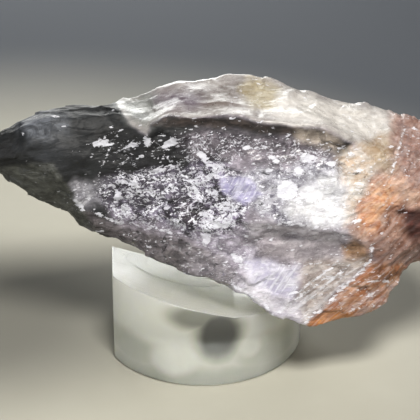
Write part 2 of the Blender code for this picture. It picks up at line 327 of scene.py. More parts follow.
PATCHES: tuple[Patch, ...] = (
    Patch("smoky_end", (
        (-32.0, 17.0), (-10.8, 15.0), (-7.6, 9.4), (-9.0, 4.0), (-12.0, -2.6), (-18.0, -2.6), (-32.0, 1.0),
    ), (9, 10, 11), soft=1.4, ragged=2.4, white=0.04, black=0.3, rough=0.58, chip=0.5, second=(22, 24, 26)),
    Patch("smoky_mass", (
        (-30.0, 16.1), (-19.4, 13.2), (-10.9, 14.4), (-10.5, 13.3), (-9.8, 11.7), (-8.8, 10.4), (-6.9, 9.2),
        (-6.3, 10.7), (-4.4, 11.7), (-1.5, 11.2), (1.4, 11.4), (4.8, 11.4), (7.2, 10.7), (11.1, 10.2),
        (14.9, 10.0), (16.8, 9.1), (18.3, 8.3), (18.1, 6.7), (15.7, 6.5), (12.0, 7.4), (7.3, 7.4), (4.3, 7.4),
        (2.3, 5.6), (0.2, 6.0), (-2.2, 5.0), (-4.7, 4.7), (-7.8, 3.7), (-10.5, 3.5), (-13.2, 4.2),
        (-14.7, 3.0), (-15.4, 0.6), (-14.2, -1.5), (-17.7, 0.0), (-30.0, 2.5),
    ), (10, 11, 12), soft=0.35, ragged=0.35, white=0.03, black=0.3, rough=0.58, chip=0.5, second=(25, 27, 29),
       side=Side.FRONT),
    Patch("black_heart", (
        (-13.7, 8.7), (-10.5, 10.2), (-6.5, 8.9), (-3.3, 10.2), (2.8, 8.7), (4.6, 7.2), (2.3, 5.5),
        (-0.4, 5.8), (-4.7, 4.7), (-10.2, 3.6), (-12.7, 5.0),
    ), (9, 9, 11), soft=0.7, ragged=0.8, white=0.34, black=0.5, chip=0.9, second=(20, 20, 23),
       side=Side.FRONT),
    Patch("tip_cloud", (
        (-23.3, 11.4), (-20.1, 12.2), (-16.9, 11.4), (-16.2, 9.9), (-18.6, 9.2), (-21.4, 9.4), (-23.1, 9.9),
    ), (116, 120, 128), 0.75, 1.0, 1.5, white=0.12, second=(60, 63, 69)),
    Patch("side_cloud", (
        (-21.4, 8.7), (-17.7, 9.2), (-14.7, 7.4), (-15.2, 5.5), (-18.1, 6.2), (-20.6, 6.7),
    ), (50, 53, 58), 0.6, 1.4, 1.6, second=(30, 32, 35)),
    Patch("hollow_grey", (
        (-17.9, 10.9), (-15.2, 9.9), (-13.2, 7.4), (-11.2, 4.2), (-13.2, 0.2), (-14.7, 0.5), (-15.9, 2.5),
        (-17.4, 5.0), (-18.4, 7.9),
    ), (40, 41, 43), 0.6, 1.2, 1.2, white=0.05, second=(26, 27, 28)),
    # painted highlight: a bright band along the ridge at the hollow's rim
    Patch("hollow_rim_painted_highlight", (
        (-16.4, 3.0), (-15.4, 4.0), (-13.7, 3.5), (-11.2, 3.2), (-10.5, 1.7), (-12.7, 0.5), (-14.2, -0.2),
        (-15.4, 0.7),
    ), (198, 196, 203), 0.75, 0.8, 1.0, white=0.45, second=(138, 136, 144), side=Side.FRONT),
    Patch("olive_edge", (
        (-26.8, 5.5), (-21.4, 5.8), (-18.8, 5.8), (-17.3, 3.5), (-15.8, 1.7), (-14.8, 0.0), (-13.7, -1.5),
        (-12.0, -2.7), (-12.5, -3.7), (-17.7, -0.5), (-22.6, 2.0), (-26.8, 4.0),
    ), (88, 89, 83), 0.9, 0.4, 0.6, white=0.05, rough=0.3, chip=0.8, second=(58, 59, 55)),
    Patch("top_facet", (
        (-11.1, 14.3), (-2.8, 16.6), (6.2, 17.1), (8.9, 16.6), (15.2, 14.1), (19.9, 13.4), (28.0, 11.9),
        (28.0, 9.2), (23.8, 7.4), (20.9, 6.5), (18.6, 8.3), (16.8, 9.3), (14.9, 10.3), (11.1, 10.4),
        (7.2, 10.9), (4.8, 11.7), (1.4, 11.7), (-1.5, 11.4), (-4.4, 11.9), (-6.3, 10.9), (-6.9, 9.4),
        (-8.8, 10.5), (-9.9, 11.8), (-10.9, 13.9),
    ), (168, 163, 160), soft=0.2, ragged=0.25, white=0.07, black=0.0, rough=0.3, chip=0.2,
       second=(148, 142, 140)),
    Patch("top_clear", (
        (-10.7, 13.9), (-6.5, 14.9), (-5.1, 14.1), (-5.3, 12.4), (-6.8, 10.2), (-8.8, 10.9),
    ), (126, 129, 125), 0.8, 1.0, 0.8, second=(116, 120, 117), side=Side.FRONT),
    Patch("top_purple", (
        (-5.8, 13.9), (-3.3, 15.1), (0.1, 15.1), (0.4, 13.4), (-2.1, 12.4), (-5.1, 12.7),
    ), (66, 50, 70), 0.75, 1.0, 1.0, second=(80, 64, 82)),
    Patch("top_pink", (
        (-0.9, 14.9), (4.6, 15.6), (5.8, 14.1), (4.3, 12.9), (0.4, 12.7),
    ), (78, 64, 57), 0.75, 1.0, 1.0, second=(92, 78, 70)),
    Patch("top_ochre", (
        (4.1, 14.6), (5.8, 16.4), (8.5, 16.1), (9.8, 14.1), (9.0, 12.4), (6.0, 12.7),
    ), (166, 151, 110), 0.75, 0.8, 1.2, white=0.2, second=(142, 127, 88)),
    Patch("top_white", (
        (8.0, 12.2), (10.2, 14.6), (15.7, 13.4), (24.3, 11.7), (23.3, 9.4), (18.9, 8.9), (14.9, 10.7),
        (10.2, 10.9),
    ), (226, 222, 216), 0.8, 1.0, 1.0, white=0.15, second=(206, 201, 195)),
    Patch("flecked_grey", (
        (-3.3, 8.7), (-0.4, 10.2), (5.8, 9.7), (12.0, 8.9), (16.7, 8.4), (16.9, 6.2), (12.0, 5.5), (7.3, 6.2),
        (4.1, 6.0), (0.9, 6.7), (-1.6, 6.5),
    ), (132, 124, 132), 0.75, 0.9, 1.2, white=0.6, black=0.5, chip=0.8, second=(70, 62, 70), side=Side.FRONT),
    Patch("brow_shade", (
        (-6.5, 10.7), (-4.4, 11.7), (1.4, 11.4), (4.8, 11.4), (11.1, 10.2), (16.8, 8.9), (17.9, 7.4),
        (14.2, 8.7), (9.5, 9.4), (4.6, 10.2), (-0.4, 10.3), (-4.3, 10.4),
    ), (80, 69, 64), 0.8, 0.3, 0.5, white=0.3, second=(46, 39, 36), side=Side.FRONT),
    Patch("brown_right", (
        (11.5, 10.2), (14.7, 9.9), (17.2, 8.7), (16.9, 7.2), (14.2, 7.4), (11.7, 8.4),
    ), (186, 173, 158), 0.65, 0.7, 0.9, white=0.35, second=(134, 122, 110), side=Side.FRONT),
    Patch("crumbled", (
        (-11.2, 4.0), (-7.8, 5.0), (-4.1, 5.2), (-0.4, 6.2), (2.6, 5.5), (4.6, 3.0), (5.8, 0.5), (5.3, -1.5),
        (2.8, -3.2), (-0.4, -3.5), (-4.1, -2.0), (-7.8, -1.5), (-10.7, -0.2), (-12.2, 1.2),
    ), (140, 130, 154), 0.9, 0.8, 1.4, white=0.86, black=0.72, rough=0.35, chip=1.3,
       second=(62, 53, 70), side=Side.FRONT),
    Patch("crumble_left", (
        (-13.0, 4.0), (-6.5, 4.7), (-1.6, 5.5), (-0.9, 3.2), (-2.1, 0.7), (-5.3, -0.5), (-10.5, 0.2),
        (-12.5, 1.7),
    ), (104, 98, 112), 0.8, 0.8, 1.4, white=0.66, black=0.55, second=(40, 36, 45), side=Side.FRONT),
    Patch("crumble_dark", (
        (-3.3, 0.5), (-1.6, 1.2), (0.4, 0.2), (0.1, -1.2), (-2.1, -2.0),
    ), (58, 42, 48), 0.7, 0.5, 0.8, second=(30, 22, 26), side=Side.FRONT),
    Patch("bright_mass", (
        (4.3, 4.6), (7.3, 5.2), (10.7, 5.2), (14.4, 5.8), (17.4, 6.5), (18.9, 4.2), (20.9, 1.7),
        (19.6, -0.7), (17.7, -2.5), (12.5, -2.0), (8.3, -1.4), (5.8, 0.7), (4.3, 2.7),
    ), (180, 179, 188), 0.95, 0.7, 1.2, white=0.55, black=0.5, rough=0.4, chip=0.8, second=(112, 108, 122)),
    # light colour of the stone, lightened to near white as painted glare on the brightest spot
    Patch("bright_low_painted_glare", (
        (11.0, 1.7), (14.4, 3.7), (18.1, 4.2), (19.6, 1.2), (18.4, -1.5), (15.2, -2.2), (11.0, -1.2),
        (9.5, 0.2),
    ), (248, 248, 250), 0.85, 1.0, 1.4, white=0.4, black=0.12, second=(228, 227, 232)),
    Patch("lilac_block", (
        (2.1, 4.2), (5.8, 4.0), (7.3, 1.7), (5.3, 0.7), (2.8, 1.7),
    ), (190, 186, 214), 0.85, 0.4, 0.5, white=0.3, black=0.2, fibre=0.6,
       second=(164, 160, 194), side=Side.FRONT),
    Patch("cream_band", (
        (16.4, 6.2), (18.4, 7.4), (20.9, 8.7), (24.1, 10.4), (24.3, 7.4), (22.8, 5.2), (21.1, 3.2),
        (20.4, 1.2), (19.1, -0.7), (17.7, -1.5), (17.9, 2.5),
    ), (216, 206, 194), 0.8, 1.0, 1.2, second=(196, 172, 146)),
    Patch("rust_mass", (
        (23.7, 11.4), (29.3, 12.2), (34.0, 12.2), (34.0, -11.2), (24.8, -9.2), (21.4, -8.2), (20.9, -4.2),
        (18.4, -3.2), (18.1, -2.0), (19.6, -0.5), (20.9, 1.2), (21.6, 3.7), (23.3, 5.6), (24.6, 8.1),
    ), (190, 156, 134), 0.92, 1.1, 1.4, white=0.25, black=0.05, rough=0.45, chip=0.7,
       fibre=-0.15, second=(160, 118, 94)),
    Patch("cream_ochre", (
        (19.9, 8.9), (24.1, 9.4), (25.1, 5.2), (22.8, 4.2), (20.1, 6.0),
    ), (166, 147, 121), 0.8, 1.0, 1.4, white=0.3, second=(144, 121, 94)),
    Patch("rust_pink", (
        (23.3, 12.2), (34.0, 12.2), (34.0, 3.7), (25.8, 3.0), (23.8, 6.2),
    ), (154, 125, 117), 0.8, 1.0, 1.2, second=(124, 93, 85)),
    Patch("rust_orange", (
        (20.4, 2.0), (22.3, 3.0), (24.1, 2.5), (24.6, 0.7), (23.3, -0.7), (21.4, -2.7), (19.9, -2.5),
        (19.6, -0.2),
    ), (214, 166, 124), 0.7, 0.8, 1.4, black=0.05, fibre=-0.25, second=(188, 122, 74)),
    Patch("rust_brown", (
        (22.1, -0.7), (24.8, 1.5), (26.0, -0.2), (25.1, -3.0), (21.9, -3.7), (20.9, -2.9),
    ), (146, 104, 84), 0.75, 0.8, 1.2, white=0.2, fibre=-0.25, second=(112, 70, 52)),
    Patch("rust_dark", (
        (24.9, 0.2), (29.5, 0.6), (34.0, 0.6), (34.0, -4.6), (26.2, -4.2), (24.9, -3.0),
    ), (74, 18, 8), 0.95, 0.8, 1.0, white=0.02, rough=0.7, fibre=0.0, second=(46, 8, 3)),
    Patch("rust_low", (
        (20.9, -3.7), (24.8, -3.2), (34.0, -3.7), (34.0, -11.2), (24.3, -9.2), (21.1, -8.2),
    ), (146, 117, 107), 0.8, 0.8, 1.2, white=0.15, second=(112, 79, 67)),
    Patch("low_lilac", (
        (-0.9, -2.7), (2.8, -2.7), (5.8, -1.7), (7.3, -3.7), (6.8, -6.5), (5.3, -8.2), (3.6, -9.2),
        (1.4, -6.9), (-0.9, -5.2),
    ), (198, 191, 205), 0.85, 0.8, 1.0, white=0.42, black=0.3, second=(146, 138, 152)),
    Patch("grey_lens", (
        (7.3, -2.7), (9.5, -3.5), (13.2, -2.7), (16.7, -3.0), (17.9, -5.0), (15.7, -6.9), (11.5, -6.5),
        (8.0, -5.7), (6.5, -4.2),
    ), (172, 165, 168), 0.85, 0.8, 0.8, white=0.2, black=0.15, rough=0.22, chip=0.5, second=(140, 133, 137)),
    Patch("lens_cloud", (
        (6.3, -2.0), (9.0, -2.2), (8.8, -4.0), (7.3, -5.5), (5.3, -4.5),
    ), (184, 176, 184), 0.7, 0.9, 0.8, second=(138, 129, 136)),
    # painted light: a light patch laid over the shade under the ledge
    Patch("ledge_painted_light", (
        (5.3, -1.4), (12.0, -2.0), (18.1, -2.4), (18.4, -3.7), (12.0, -3.7), (5.8, -3.1),
    ), (188, 183, 189), 0.85, 0.6, 0.8, white=0.35, second=(154, 148, 155), side=Side.FRONT),
    Patch("ochre_patch", (
        (17.4, -4.5), (18.9, -3.7), (20.6, -4.5), (20.4, -6.9), (18.6, -7.4), (17.4, -6.5),
    ), (164, 124, 82), 0.85, 0.6, 0.8, white=0.1, second=(128, 92, 56)),
    Patch("striated", (
        (5.1, -6.2), (7.3, -6.0), (10.7, -7.2), (12.5, -6.5), (13.0, -8.9), (11.0, -11.2), (8.0, -10.7),
        (5.8, -8.9),
    ), (226, 223, 236), 0.9, 0.5, 0.5, white=0.12, black=0.05, fibre=1.0, chip=0.4, second=(192, 187, 210)),
    Patch("white_seam", (
        (12.0, -6.5), (16.4, -6.0), (20.1, -6.5), (19.1, -8.2), (15.7, -11.2), (12.5, -14.6), (10.7, -14.4),
        (12.0, -11.2),
    ), (194, 184, 178), 0.85, 0.8, 1.0, white=0.3, fibre=-0.7, second=(150, 136, 128)),
    Patch("low_point", (
        (2.6, -8.7), (5.8, -8.9), (9.0, -11.2), (12.5, -11.2), (12.0, -15.6), (7.5, -12.9), (4.1, -10.4),
    ), (236, 232, 240), 0.8, 0.8, 0.8, white=0.3, black=0.15, fibre=-0.6, second=(210, 204, 218)),
    Patch("foot_strip", (
        (-14.7, -0.5), (-12.2, -1.0), (-8.5, -2.2), (-4.8, -3.0), (-1.1, -4.0), (2.1, -5.7), (4.1, -7.9),
        (2.8, -9.9), (-1.6, -8.2), (-5.8, -6.5), (-10.2, -4.2), (-13.7, -2.5),
    ), (118, 111, 113), 0.88, 0.6, 0.9, white=0.25, black=0.5, chip=0.9, second=(66, 60, 62)),
    Patch("foot_pale", (
        (-2.1, -5.2), (2.3, -5.5), (4.6, -7.4), (4.6, -9.7), (1.1, -9.2), (-2.6, -7.4),
    ), (168, 161, 168), 0.8, 0.8, 1.0, white=0.4, black=0.3, second=(114, 108, 114)),
    Patch("rust_slab", (
        (11.7, -15.6), (16.9, -15.0), (22.5, -12.6), (26.5, -8.6), (24.8, -6.5), (22.3, -6.9), (20.7, -6.6),
        (19.0, -8.3), (16.8, -10.4), (14.2, -12.7),
    ), (172, 128, 96), 0.92, 0.3, 0.4, white=0.3, black=0.2, fibre=-0.35, chip=0.9, second=(148, 94, 58)),
    Patch("slab_corner", (
        (20.9, -7.2), (22.6, -6.5), (24.6, -7.9), (22.1, -8.8),
    ), (148, 97, 58), 0.85, 0.4, 0.6, white=0.1, second=(112, 68, 40)),
    Patch("slab_orange", (
        (13.2, -14.1), (16.7, -11.9), (19.1, -12.7), (17.2, -14.4), (14.0, -15.1),
    ), (200, 134, 66), 0.85, 0.7, 0.9, white=0.25, second=(168, 104, 44)),
    Patch("end_seam", (
        (24.7, 10.2), (25.2, 9.9), (24.3, 6.9), (23.4, 4.3), (23.0, 4.5), (23.9, 7.0),
    ), (214, 198, 190), 0.3, 0.15, 0.25, side=Side.FRONT),
)

# Large cleavage flakes, painted near white as glints.
FLAKES: tuple[Flake, ...] = (
    Flake((-12.5, 8.3), 2.2, 1.0, 10.0), Flake((-8.8, 8.1), 1.5, 0.6, 18.0),
    Flake((-4.1, 8.3), 2.3, 1.0, 28.0), Flake((-4.7, 5.2), 3.2, 0.6, 14.0),
    Flake((-9.6, 3.5), 2.7, 0.5, -8.0), Flake((-6.9, 8.6), 0.7, 1.2),
    Flake((-7.4, 1.6), 1.0, 0.6), Flake((-10.6, 1.6), 0.9, 1.5),
    Flake((13.1, 6.3), 1.7, 1.2), Flake((0.0, 6.6), 3.2, 0.7, -32.0),
    Flake((10.5, 2.5), 2.6, 2.5), Flake((16.0, 5.7), 1.0, 0.5),
    Flake((5.3, 7.8), 1.5, 0.5, -5.0), Flake((7.3, 7.9), 2.0, 0.4, 5.0),
    Flake((12.0, 4.7), 1.2, 1.0), Flake((4.3, -6.0), 2.2, 1.1, -40.0),
    Flake((0.4, -3.5), 1.1, 1.5), Flake((18.4, 6.9), 0.7, 0.5),
    Flake((9.0, 6.2), 2.0, 0.6, -20.0), Flake((-15.3, 0.7), 0.7, 1.7, 30.0),
)


# Thin bright lines along fracture edges, painted near white, partly as painted edge highlights.
SEAMS: tuple[Seam, ...] = (
    Seam(((12.0, -14.5), (14.7, -12.2), (16.9, -10.3), (19.0, -8.2), (20.7, -6.5), (21.0, -4.3)), 0.30),
    Seam(((20.1, -8.7), (22.2, -8.8), (24.2, -8.9)), 0.16),
    Seam(((3.3, -9.1), (5.1, -10.2), (7.3, -11.4), (8.9, -13.4), (10.7, -14.4)), 0.28),
    Seam(((5.4, -7.2), (7.3, -8.4), (9.5, -8.9), (11.5, -9.4), (12.7, -11.2)), 0.14),
    Seam(((10.7, -11.2), (16.7, -6.5)), 0.12), Seam(((9.5, -12.7), (15.7, -8.1)), 0.12),
    Seam(((13.2, -11.2), (18.4, -6.5)), 0.14),
    Seam(((7.3, -2.2), (10.1, -1.5), (14.4, -2.0), (17.5, -3.2)), 0.16),
    Seam(((-13.7, -0.2), (-10.2, -1.5), (-6.5, -2.0), (-2.8, -3.1)), 0.18),
    Seam(((-13.0, 4.3), (-11.7, 7.4), (-11.2, 8.4)), 0.08),
    Seam(((25.1, 10.0), (24.5, 8.1), (24.1, 6.2), (23.3, 4.6)), 0.1),
)


class Graph:
    """Builds the nodes of one material or node group."""

    def __init__(self, tree: bpy.types.NodeTree) -> None:
        """Keeps the tree that the nodes go into.

        Args:
            tree: The node tree of a material or a group.
        """
        self.tree = tree

    def add(self, kind: str, **settings: object) -> bpy.types.Node:
        """Adds one node.

        Args:
            kind: The node's type name.
            **settings: The node's own settings by name.

        Returns:
            The new node.
        """
        node = self.tree.nodes.new(kind)
        for name, value in settings.items():
            setattr(node, name, value)
        return node

    def feed(self, socket: bpy.types.NodeSocket, value: Value | None) -> None:
        """Links a socket to another one, or gives it a plain value.

        Args:
            socket: The input to fill.
            value: An output socket, a number or a colour.
        """
        if isinstance(value, bpy.types.NodeSocket):
            self.tree.links.new(value, socket)
        elif value is not None:
            socket.default_value = value

    def math(
        self, operation: str, first: Value, second: Value | None = None, third: Value | None = None
    ) -> Value:
        """Works one sum on numbers that vary over the surface.

        Args:
            operation: The sum's name, such as MULTIPLY.
            first: The first number or socket.
            second: The second number or socket.
            third: The third number or socket.

        Returns:
            The socket with the result.
        """
        node = self.add("ShaderNodeMath", operation=operation)
        for socket, value in zip(node.inputs, (first, second, third)):
            self.feed(socket, value)
        return node.outputs[0]

    def rise(self, value: Value, low: float, high: float, start: float = 0.0, end: float = 1.0) -> Value:
        """Spreads a range of numbers over another one, smoothly and within its ends.

        Args:
            value: The number or socket to place.
            low: Where the rise starts.
            high: Where it ends.
            start: The result at low and below.
            end: The result at high and above.

        Returns:
            The socket with the result.
        """
        node = self.add("ShaderNodeMapRange", interpolation_type="SMOOTHSTEP")
        names = ("Value", "From Min", "From Max", "To Min", "To Max")
        for name, number in zip(names, (value, low, high, start, end)):
            self.feed(node.inputs[name], number)
        return node.outputs["Result"]

    def mix(self, share: Value, first: Value, second: Value) -> Value:
        """Mixes two colours.

        Args:
            share: How much of the second colour, from 0 to 1.
            first: The first colour.
            second: The second colour.

        Returns:
            The socket with the mixed colour.
        """
        node = self.add("ShaderNodeMix", data_type="RGBA", clamp_factor=True)
        self.feed(node.inputs[0], share)
        self.feed(node.inputs[6], first)
        self.feed(node.inputs[7], second)
        return node.outputs[2]

    def vector(self, operation: str, first: Value, second: Value) -> bpy.types.Node:
        """Works one sum on places or directions.

        Args:
            operation: The sum's name, such as SUBTRACT.
            first: The first vector.
            second: The second vector.

        Returns:
            The sum's node.
        """
        node = self.add("ShaderNodeVectorMath", operation=operation)
        self.feed(node.inputs[0], first)
        self.feed(node.inputs[1], second)
        return node

    def parts(self, vector: Value) -> list[Value]:
        """The three numbers of a vector."""
        node = self.add("ShaderNodeSeparateXYZ")
        self.feed(node.inputs[0], vector)
        return list(node.outputs)

    def layer(self, finish: Finish) -> Value:
        """The numbers that the shape carries in one of its layers."""
        return self.add("ShaderNodeAttribute", attribute_name=finish.value).outputs["Vector"]

    def bump(self, shader: bpy.types.Node, height: Value, strength: float, distance: float) -> None:
        """Lets a height tilt a shader's surface.

        Args:
            shader: The shader.
            height: The height.
            strength: The share of the tilt that is used, 0 to 1.
            distance: What a height of 1 is, in metres.
        """
        node = self.add("ShaderNodeBump")
        node.inputs["Strength"].default_value = strength
        node.inputs["Distance"].default_value = distance
        self.feed(node.inputs["Height"], height)
        self.feed(shader.inputs["Normal"], node.outputs["Normal"])

    def noise(
        self, place: Value, scale: Value, detail: float = 4.0, rough: float = 0.55, swirl: float = 0.0
    ) -> Value:
        """Cloudy noise.

        Args:
            place: The socket with the place in millimetres.
            scale: Lumps to the millimetre.
            detail: How many finer layers.
            rough: How strong the finer layers are.
            swirl: How much the lumps are twisted.

        Returns:
            The socket with a number from 0 to 1.
        """
        node = self.add("ShaderNodeTexNoise")
        self.feed(node.inputs["Vector"], place)
        self.feed(node.inputs["Scale"], scale)
        self.feed(node.inputs["Detail"], detail)
        self.feed(node.inputs["Roughness"], rough)
        self.feed(node.inputs["Distortion"], swirl)
        return node.outputs["Fac"]

    def scaled(self, place: Value, size: Point3, turn: Point3 = (0.0, 0.0, 0.0)) -> Value:
        """Stretches and turns the place that a texture is read at.

        Args:
            place: The socket with the place.
            size: Factors along the three axes.
            turn: Turns about the three axes, in degrees.

        Returns:
            The socket with the new place.
        """
        if any(turn):
            turned = self.add("ShaderNodeMapping")
            self.feed(turned.inputs["Vector"], place)
            turned.inputs["Rotation"].default_value = tuple(math.radians(angle) for angle in turn)
            place = turned.outputs["Vector"]
        node = self.add("ShaderNodeMapping")
        self.feed(node.inputs["Vector"], place)
        node.inputs["Scale"].default_value = size
        return node.outputs["Vector"]

    def warped(self, place: Value, scale: float, reach: float) -> Value:
        """Pushes a place about by soft noise, so that patterns read there look less regular.

        Args:
            place: The socket with the place in millimetres.
            scale: Lumps of the noise to the millimetre.
            reach: How far the place moves, in millimetres.

        Returns:
            The socket with the moved place.
        """
        wobble = self.add("ShaderNodeTexNoise")
        self.feed(wobble.inputs["Vector"], place)
        self.feed(wobble.inputs["Scale"], scale)
        self.feed(wobble.inputs["Detail"], 3.0)
        moved = self.add("ShaderNodeVectorMath", operation="MULTIPLY_ADD")
        self.feed(moved.inputs[0], wobble.outputs["Color"])
        moved.inputs[1].default_value = (reach, reach, reach)
        self.feed(moved.inputs[2], place)
        return moved.outputs[0]

    def millimetres(self) -> Value:
        """The place on the object in millimetres."""
        return self.scaled(self.add("ShaderNodeTexCoord").outputs["Object"], (1000.0, 1000.0, 1000.0))

    def placed(self, group: bpy.types.NodeTree, **values: Value) -> bpy.types.Node:
        """Places a node group with its own values.

        Args:
            group: The group to place.
            **values: Its inputs by name.

        Returns:
            The group's node.
        """
        node = self.add("ShaderNodeGroup", node_tree=group)
        for name, value in values.items():
            self.feed(node.inputs[name], value)
        return node


def new_group(
    name: str, inputs: dict[str, tuple[str, float]], outputs: dict[str, str]
) -> tuple[Graph, bpy.types.Node, bpy.types.Node]:
    """Starts a shader node group with named sockets.

    Args:
        name: The group's name.
        inputs: Each input's socket kind and starting value.
        outputs: Each output's socket kind.

    Returns:
        The group's graph, its input node and its output node.
    """
    tree = bpy.data.node_groups.new(name, "ShaderNodeTree")
    for label, (kind, value) in inputs.items():
        socket = tree.interface.new_socket(label, in_out="INPUT", socket_type=kind)
        if kind == "NodeSocketFloat":
            socket.default_value = value
    for label, kind in outputs.items():
        tree.interface.new_socket(label, in_out="OUTPUT", socket_type=kind)
    graph = Graph(tree)
    return graph, graph.add("NodeGroupInput"), graph.add("NodeGroupOutput")


@dataclass(frozen=True)
class Effects:
    """The surface effects that the materials share."""

    flecks: bpy.types.NodeTree
    crumbs: bpy.types.NodeTree
    relief: bpy.types.NodeTree
    facets: bpy.types.NodeTree
    threads: bpy.types.NodeTree

    @staticmethod
    def make_flecks() -> bpy.types.NodeTree:
        """Builds the group for separate ragged flecks, such as painted glints on the stone's flakes and fine
        specks on the plastic.

        Returns:
            The node group.
        """
        graph, source, result = new_group(
            "ragged_flecks",
            {"Place": ("NodeSocketVector", 0.0), "Scale": ("NodeSocketFloat", 1.5),
             "Amount": ("NodeSocketFloat", 0.3), "Ragged": ("NodeSocketFloat", 0.25)},
            {"Mask": "NodeSocketFloat"},
        )
        wobble = graph.add("ShaderNodeTexNoise")
        graph.feed(wobble.inputs["Vector"], source.outputs["Place"])
        graph.feed(wobble.inputs["Scale"], 3.1)
        graph.feed(wobble.inputs["Detail"], 3.0)
        centred = graph.vector("SUBTRACT", wobble.outputs["Color"], (0.5, 0.5, 0.5))
        pushed = graph.add("ShaderNodeVectorMath", operation="SCALE")
        graph.feed(pushed.inputs[0], centred.outputs[0])
        graph.feed(pushed.inputs["Scale"], source.outputs["Ragged"])
        moved = graph.vector("ADD", source.outputs["Place"], pushed.outputs[0])
        cells = graph.add("ShaderNodeTexVoronoi", feature="F1")
        graph.feed(cells.inputs["Vector"], moved.outputs[0])
        graph.feed(cells.inputs["Scale"], source.outputs["Scale"])
        split = graph.add("ShaderNodeSeparateColor")
        graph.feed(split.inputs[0], cells.outputs["Color"])
        chosen = graph.math("GREATER_THAN", source.outputs["Amount"], split.outputs[0])
        spread = graph.math("MULTIPLY_ADD", graph.math("POWER", split.outputs[1], 2.0), 0.34, 0.17)
        size = graph.math("MULTIPLY", chosen, spread)
        mask = graph.rise(graph.math("SUBTRACT", size, cells.outputs["Distance"]), 0.0, 0.05)
        graph.feed(result.inputs["Mask"], mask)
        return graph.tree

    @staticmethod
    def make_crumbs() -> bpy.types.NodeTree:
        """Builds the group for dense crumbled grain.

        Returns:
            The node group.
        """
        graph, source, result = new_group(
            "crumbled_grain",
            {"Place": ("NodeSocketVector", 0.0), "Scale": ("NodeSocketFloat", 1.5),
             "Amount": ("NodeSocketFloat", 0.5)},
            {"Mask": "NodeSocketFloat"},
        )
        grain = graph.noise(source.outputs["Place"], source.outputs["Scale"], 5.0, 0.72, 0.6)
        edge = graph.math("MULTIPLY_ADD", source.outputs["Amount"], -0.36, 0.74)
        mask = graph.rise(graph.math("SUBTRACT", grain, edge), 0.0, 0.05)
        graph.feed(result.inputs["Mask"], mask)
        return graph.tree

    @staticmethod
    def make_relief() -> bpy.types.NodeTree:
        """Builds the group for the fine height of a broken or sawn surface.

        Returns:
            The node group.
        """
        graph, source, result = new_group(
            "fine_relief",
            {"Place": ("NodeSocketVector", 0.0), "Coarse": ("NodeSocketFloat", 1.0),
             "Fine": ("NodeSocketFloat", 4.0), "Share": ("NodeSocketFloat", 0.4)},
            {"Height": "NodeSocketFloat"},
        )
        coarse = graph.noise(source.outputs["Place"], source.outputs["Coarse"], 4.0, 0.6, 0.3)
        fine = graph.noise(source.outputs["Place"], source.outputs["Fine"], 3.0, 0.6)
        total = graph.math("MULTIPLY_ADD", fine, source.outputs["Share"], coarse)
        graph.feed(result.inputs["Height"], total)
        return graph.tree

    @staticmethod
    def make_threads() -> bpy.types.NodeTree:
        """Builds the group for fine bright curved lines, such as the rims of small fractures, which the stone
        paints as glints.

        Returns:
            The node group.
        """
        graph, source, result = new_group(
            "fine_threads",
            {"Place": ("NodeSocketVector", 0.0), "Scale": ("NodeSocketFloat", 1.0),
             "Amount": ("NodeSocketFloat", 0.5)},
            {"Mask": "NodeSocketFloat"},
        )
        wave = graph.noise(source.outputs["Place"], source.outputs["Scale"], 3.0, 0.6, 0.4)
        level = graph.math("ABSOLUTE", graph.math("SUBTRACT", wave, 0.5))
        line = graph.rise(level, 0.004, 0.018, 1.0, 0.0)
        turned = graph.scaled(source.outputs["Place"], (1.0, 1.0, 1.0), (50.0, 20.0, 10.0))
        gate = graph.noise(turned, 0.9, 2.0, 0.5)
        chosen = graph.rise(graph.math("ADD", gate, source.outputs["Amount"]), 0.9, 1.02)
        graph.feed(result.inputs["Mask"], graph.math("MULTIPLY", line, chosen))
        return graph.tree

    @staticmethod
    def make_facets() -> bpy.types.NodeTree:
        """Builds the group for small flat facets that each lean their own way, with a random shade for each
        facet that the stone uses as painted light and shade.

        Returns:
            The node group.
        """
        graph, source, result = new_group(
            "split_facets",
            {"Place": ("NodeSocketVector", 0.0), "Scale": ("NodeSocketFloat", 1.0)},
            {"Shade": "NodeSocketFloat", "Height": "NodeSocketFloat"},
        )
        cells = graph.add("ShaderNodeTexVoronoi", feature="F1")
        graph.feed(cells.inputs["Vector"], source.outputs["Place"])
        graph.feed(cells.inputs["Scale"], source.outputs["Scale"])
        offset = graph.vector("SUBTRACT", source.outputs["Place"], cells.outputs["Position"])
        lean = graph.vector("SUBTRACT", cells.outputs["Color"], (0.5, 0.5, 0.5))
        rise = graph.vector("DOT_PRODUCT", offset.outputs[0], lean.outputs[0])
        split = graph.add("ShaderNodeSeparateColor")
        graph.feed(split.inputs[0], cells.outputs["Color"])
        graph.feed(result.inputs["Shade"], split.outputs[2])
        height = graph.math("MULTIPLY_ADD", split.outputs[0], 0.12, rise.outputs["Value"])
        graph.feed(result.inputs["Height"], height)
        return graph.tree

    @classmethod
    def build(cls) -> "Effects":
        """Builds all the shared groups once."""
        return cls(
            cls.make_flecks(), cls.make_crumbs(), cls.make_relief(), cls.make_facets(), cls.make_threads()
        )


def new_material(name: str) -> tuple[bpy.types.Material, Graph, bpy.types.Node]:
    """Starts a material with its Principled shader.

    Args:
        name: The material's name.

    Returns:
        The material, its graph and its shader node.
    """
    material = bpy.data.materials.new(name)
    material.use_nodes = True
    return material, Graph(material.node_tree), material.node_tree.nodes["Principled BSDF"]


